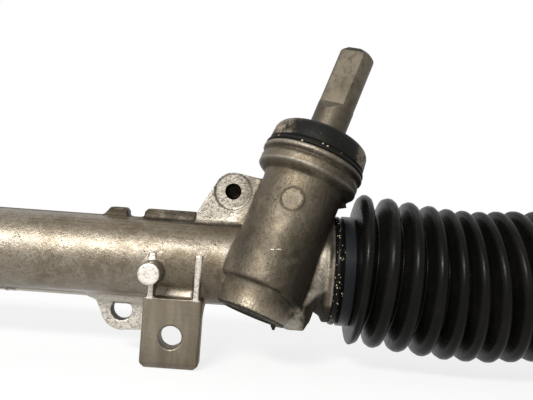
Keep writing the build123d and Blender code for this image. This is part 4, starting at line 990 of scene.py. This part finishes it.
def dust_cap():
    """Moulded cap: thin lip on the collar's rim, groove, and a band that draws in to a rounded top."""
    low, top = 46.4, 58.0                               # its ends, along the shaft
    side, lip = 22.3, 8.36                              # its radius, and its hole's
    bm = bmesh.new()
    turned(bm, [
        (low, side - 3.8), (low, side - 0.3), (low + 0.2, side + 0.05), (low + 0.75, side + 0.2),
        (low + 1.3, side + 0.05), (low + 1.5, side - 0.3),                          # lip on the collar's rim
        (low + 1.75, side - 1.15), (low + 2.1, side - 1.35), (low + 2.45, side - 1.15),     # groove
        (low + 2.8, side - 0.75), (low + 3.2, side - 0.6), (low + 6.0, side - 0.8), (top - 3.0, side - 1.05),
        (top - 1.9, side - 1.45), (top - 1.0, side - 2.1), (top - 0.35, side - 3.0),        # rounded top edge
        (top, side - 4.2), (top - 0.15, side - 7.0), (top - 0.6, lip + 4.6), (top - 1.3, lip + 3.0),
        (top - 1.2, lip + 1.2), (top - 1.05, lip + 0.3), (top - 1.4, lip), (top - 2.6, lip),    # at the shaft
        (top - 3.2, lip + 3.0), (top - 2.2, 17.0), (top - 4.4, side - 3.0),                     # inside
    ], 128, closed=True)
    onto_shaft(bm)
    piece = new_piece("rubber_cap", bm, "housing")
    co, _ = points_of(piece.data)
    up, out = distance_to_line(co, PINION_AT, SHAFT_UP)
    offset = co - np.array(PINION_AT)
    turn = np.degrees(np.arctan2(offset @ np.array(SHAFT_SIDE), offset @ np.array(-TO_RACK)))
    left = fade(np.abs(turn - 54), 30, 8)
    right = fade(np.abs(turn + 64), 22, 6)
    band = fade(up, 49.0, 49.8) * fade(up, 57.6, 55.6)
    paint(piece.data, "rubbed", np.maximum(left, right) * band)
    # where swarf specks with painted glints are laid
    greasy = fade(out, 20.0, 21.0) * fade(up, 53.0, 49.0) * fade(np.abs(turn - 12), 50, 30)
    paint(piece.data, "greasy", greasy)
    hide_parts("pinion_dust_cap")
    dress(piece, finishes["cap_rubber"])


# ---- stage, light and camera ----
def backdrop_rays(tree):
    """1 on rays that show the backdrop: straight to the camera, mirrored or through glass."""
    path = tree.nodes.new("ShaderNodeLightPath")
    seen = path.outputs["Is Camera Ray"]
    for kind in ("Is Glossy Ray", "Is Transmission Ray"):
        either = tree.nodes.new("ShaderNodeMath")
        either.operation = "MAXIMUM"
        tree.links.new(seen, either.inputs[0])
        tree.links.new(path.outputs[kind], either.inputs[1])
        seen = either.outputs[0]
    return seen


def stage():
    """A plain pale floor that goes over to white away from the rack."""
    bm = bmesh.new()
    bmesh.ops.create_grid(bm, x_segments=4, y_segments=4, size=6000)
    bmesh.ops.translate(bm, vec=(0, 0, cad_box[0].z / MM - 0.2), verts=bm.verts)
    floor = new_piece("floor", bm, smooth=False)
    f = Finish("floor_white")
    tone = f.blend(f.span(f.noise(6, 2), 0.3, 0.7), (0.86, 0.86, 0.86), (0.88, 0.88, 0.88))
    f.done(tone, 0.9, 0.0, specular=0.0)
    glow = f.tree.nodes.new("ShaderNodeEmission")
    glow.inputs["Strength"].default_value = 1.0
    mix = f.tree.nodes.new("ShaderNodeMixShader")
    away = f.vectors("LENGTH", f.where).outputs["Value"]
    f.link(f.all_of(backdrop_rays(f.tree), f.span(away, 0.30, 0.9, 0.80, 1.0)), mix.inputs[0])
    f.link(f.shader.outputs[0], mix.inputs[1])
    f.link(glow.outputs[0], mix.inputs[2])
    output = next(n for n in f.tree.nodes if n.type == "OUTPUT_MATERIAL")
    f.link(mix.outputs[0], output.inputs["Surface"])
    dress(floor, f.material)


def world():
    """Soft grey light all round, in front of a white backdrop."""
    sky = bpy.data.worlds.new("studio")
    sky.use_nodes = True
    scene.world = sky
    tree = sky.node_tree
    tree.nodes.clear()
    output = tree.nodes.new("ShaderNodeOutputWorld")
    mix = tree.nodes.new("ShaderNodeMixShader")
    tree.links.new(backdrop_rays(tree), mix.inputs[0])
    for socket, colour in ((1, (0.42, 0.42, 0.43, 1)), (2, (1, 1, 1, 1))):
        light = tree.nodes.new("ShaderNodeBackground")
        light.inputs["Color"].default_value = colour
        tree.links.new(light.outputs[0], mix.inputs[socket])
    tree.links.new(mix.outputs[0], output.inputs[0])


def lamp(name, place, target, width, height, watts, colour=(1, 1, 1)):
    """A soft box turned towards its target."""
    data = bpy.data.lights.new(name, "AREA")
    data.shape = "RECTANGLE"
    data.size, data.size_y = width, height
    data.energy = watts
    data.color = colour
    item = bpy.data.objects.new(name, data)
    item.location = place
    item.rotation_mode = "QUATERNION"
    item.rotation_quaternion = (Vector(target) - Vector(place)).to_track_quat("-Z", "Y")
    scene.collection.objects.link(item)


def lights():
    tower = (0.17, 0.01, 0.04)
    lamp("key", (-0.20, -0.98, 0.67), tower, 0.45, 0.17, 20.0, (1.0, 0.99, 0.97))
    lamp("fill", (-0.9, -0.9, 0.9), tower, 0.9, 0.7, 1.5, (1.0, 0.98, 0.96))
    lamp("above", (0.25, 0.6, 1.3), tower, 1.0, 0.6, 2.0)


CAMERA_AT = (0.172, -0.262, 0.060)
CAMERA_ROLL = math.radians(4.1)
SENSOR, FOCAL_PIXELS, FRAME_PIXELS = 36.0, 630, 533     # sensor width; focal length and frame width in pixels


def camera():
    """Straight at the casting's front, close to its pinion end, a little rolled."""
    data = bpy.data.cameras.new("camera")
    item = bpy.data.objects.new("camera", data)
    right = Vector((math.cos(CAMERA_ROLL), 0, math.sin(CAMERA_ROLL)))
    above = Vector((-math.sin(CAMERA_ROLL), 0, math.cos(CAMERA_ROLL)))
    turn = Matrix((right, above, Vector((0, -1, 0)))).transposed()
    item.matrix_world = Matrix.Translation(CAMERA_AT) @ turn.to_4x4()
    data.sensor_width = SENSOR
    data.lens = SENSOR * FOCAL_PIXELS / FRAME_PIXELS
    data.clip_start, data.clip_end = 0.01, 50.0
    scene.collection.objects.link(item)
    scene.camera = item


camera()
world()
lights()
stage()
dress_nodes()
scratches(housing_skin())
dust_cap()
for side in ("right", "left"):
    boot_segments(side)

scene.view_settings.view_transform = "Standard"
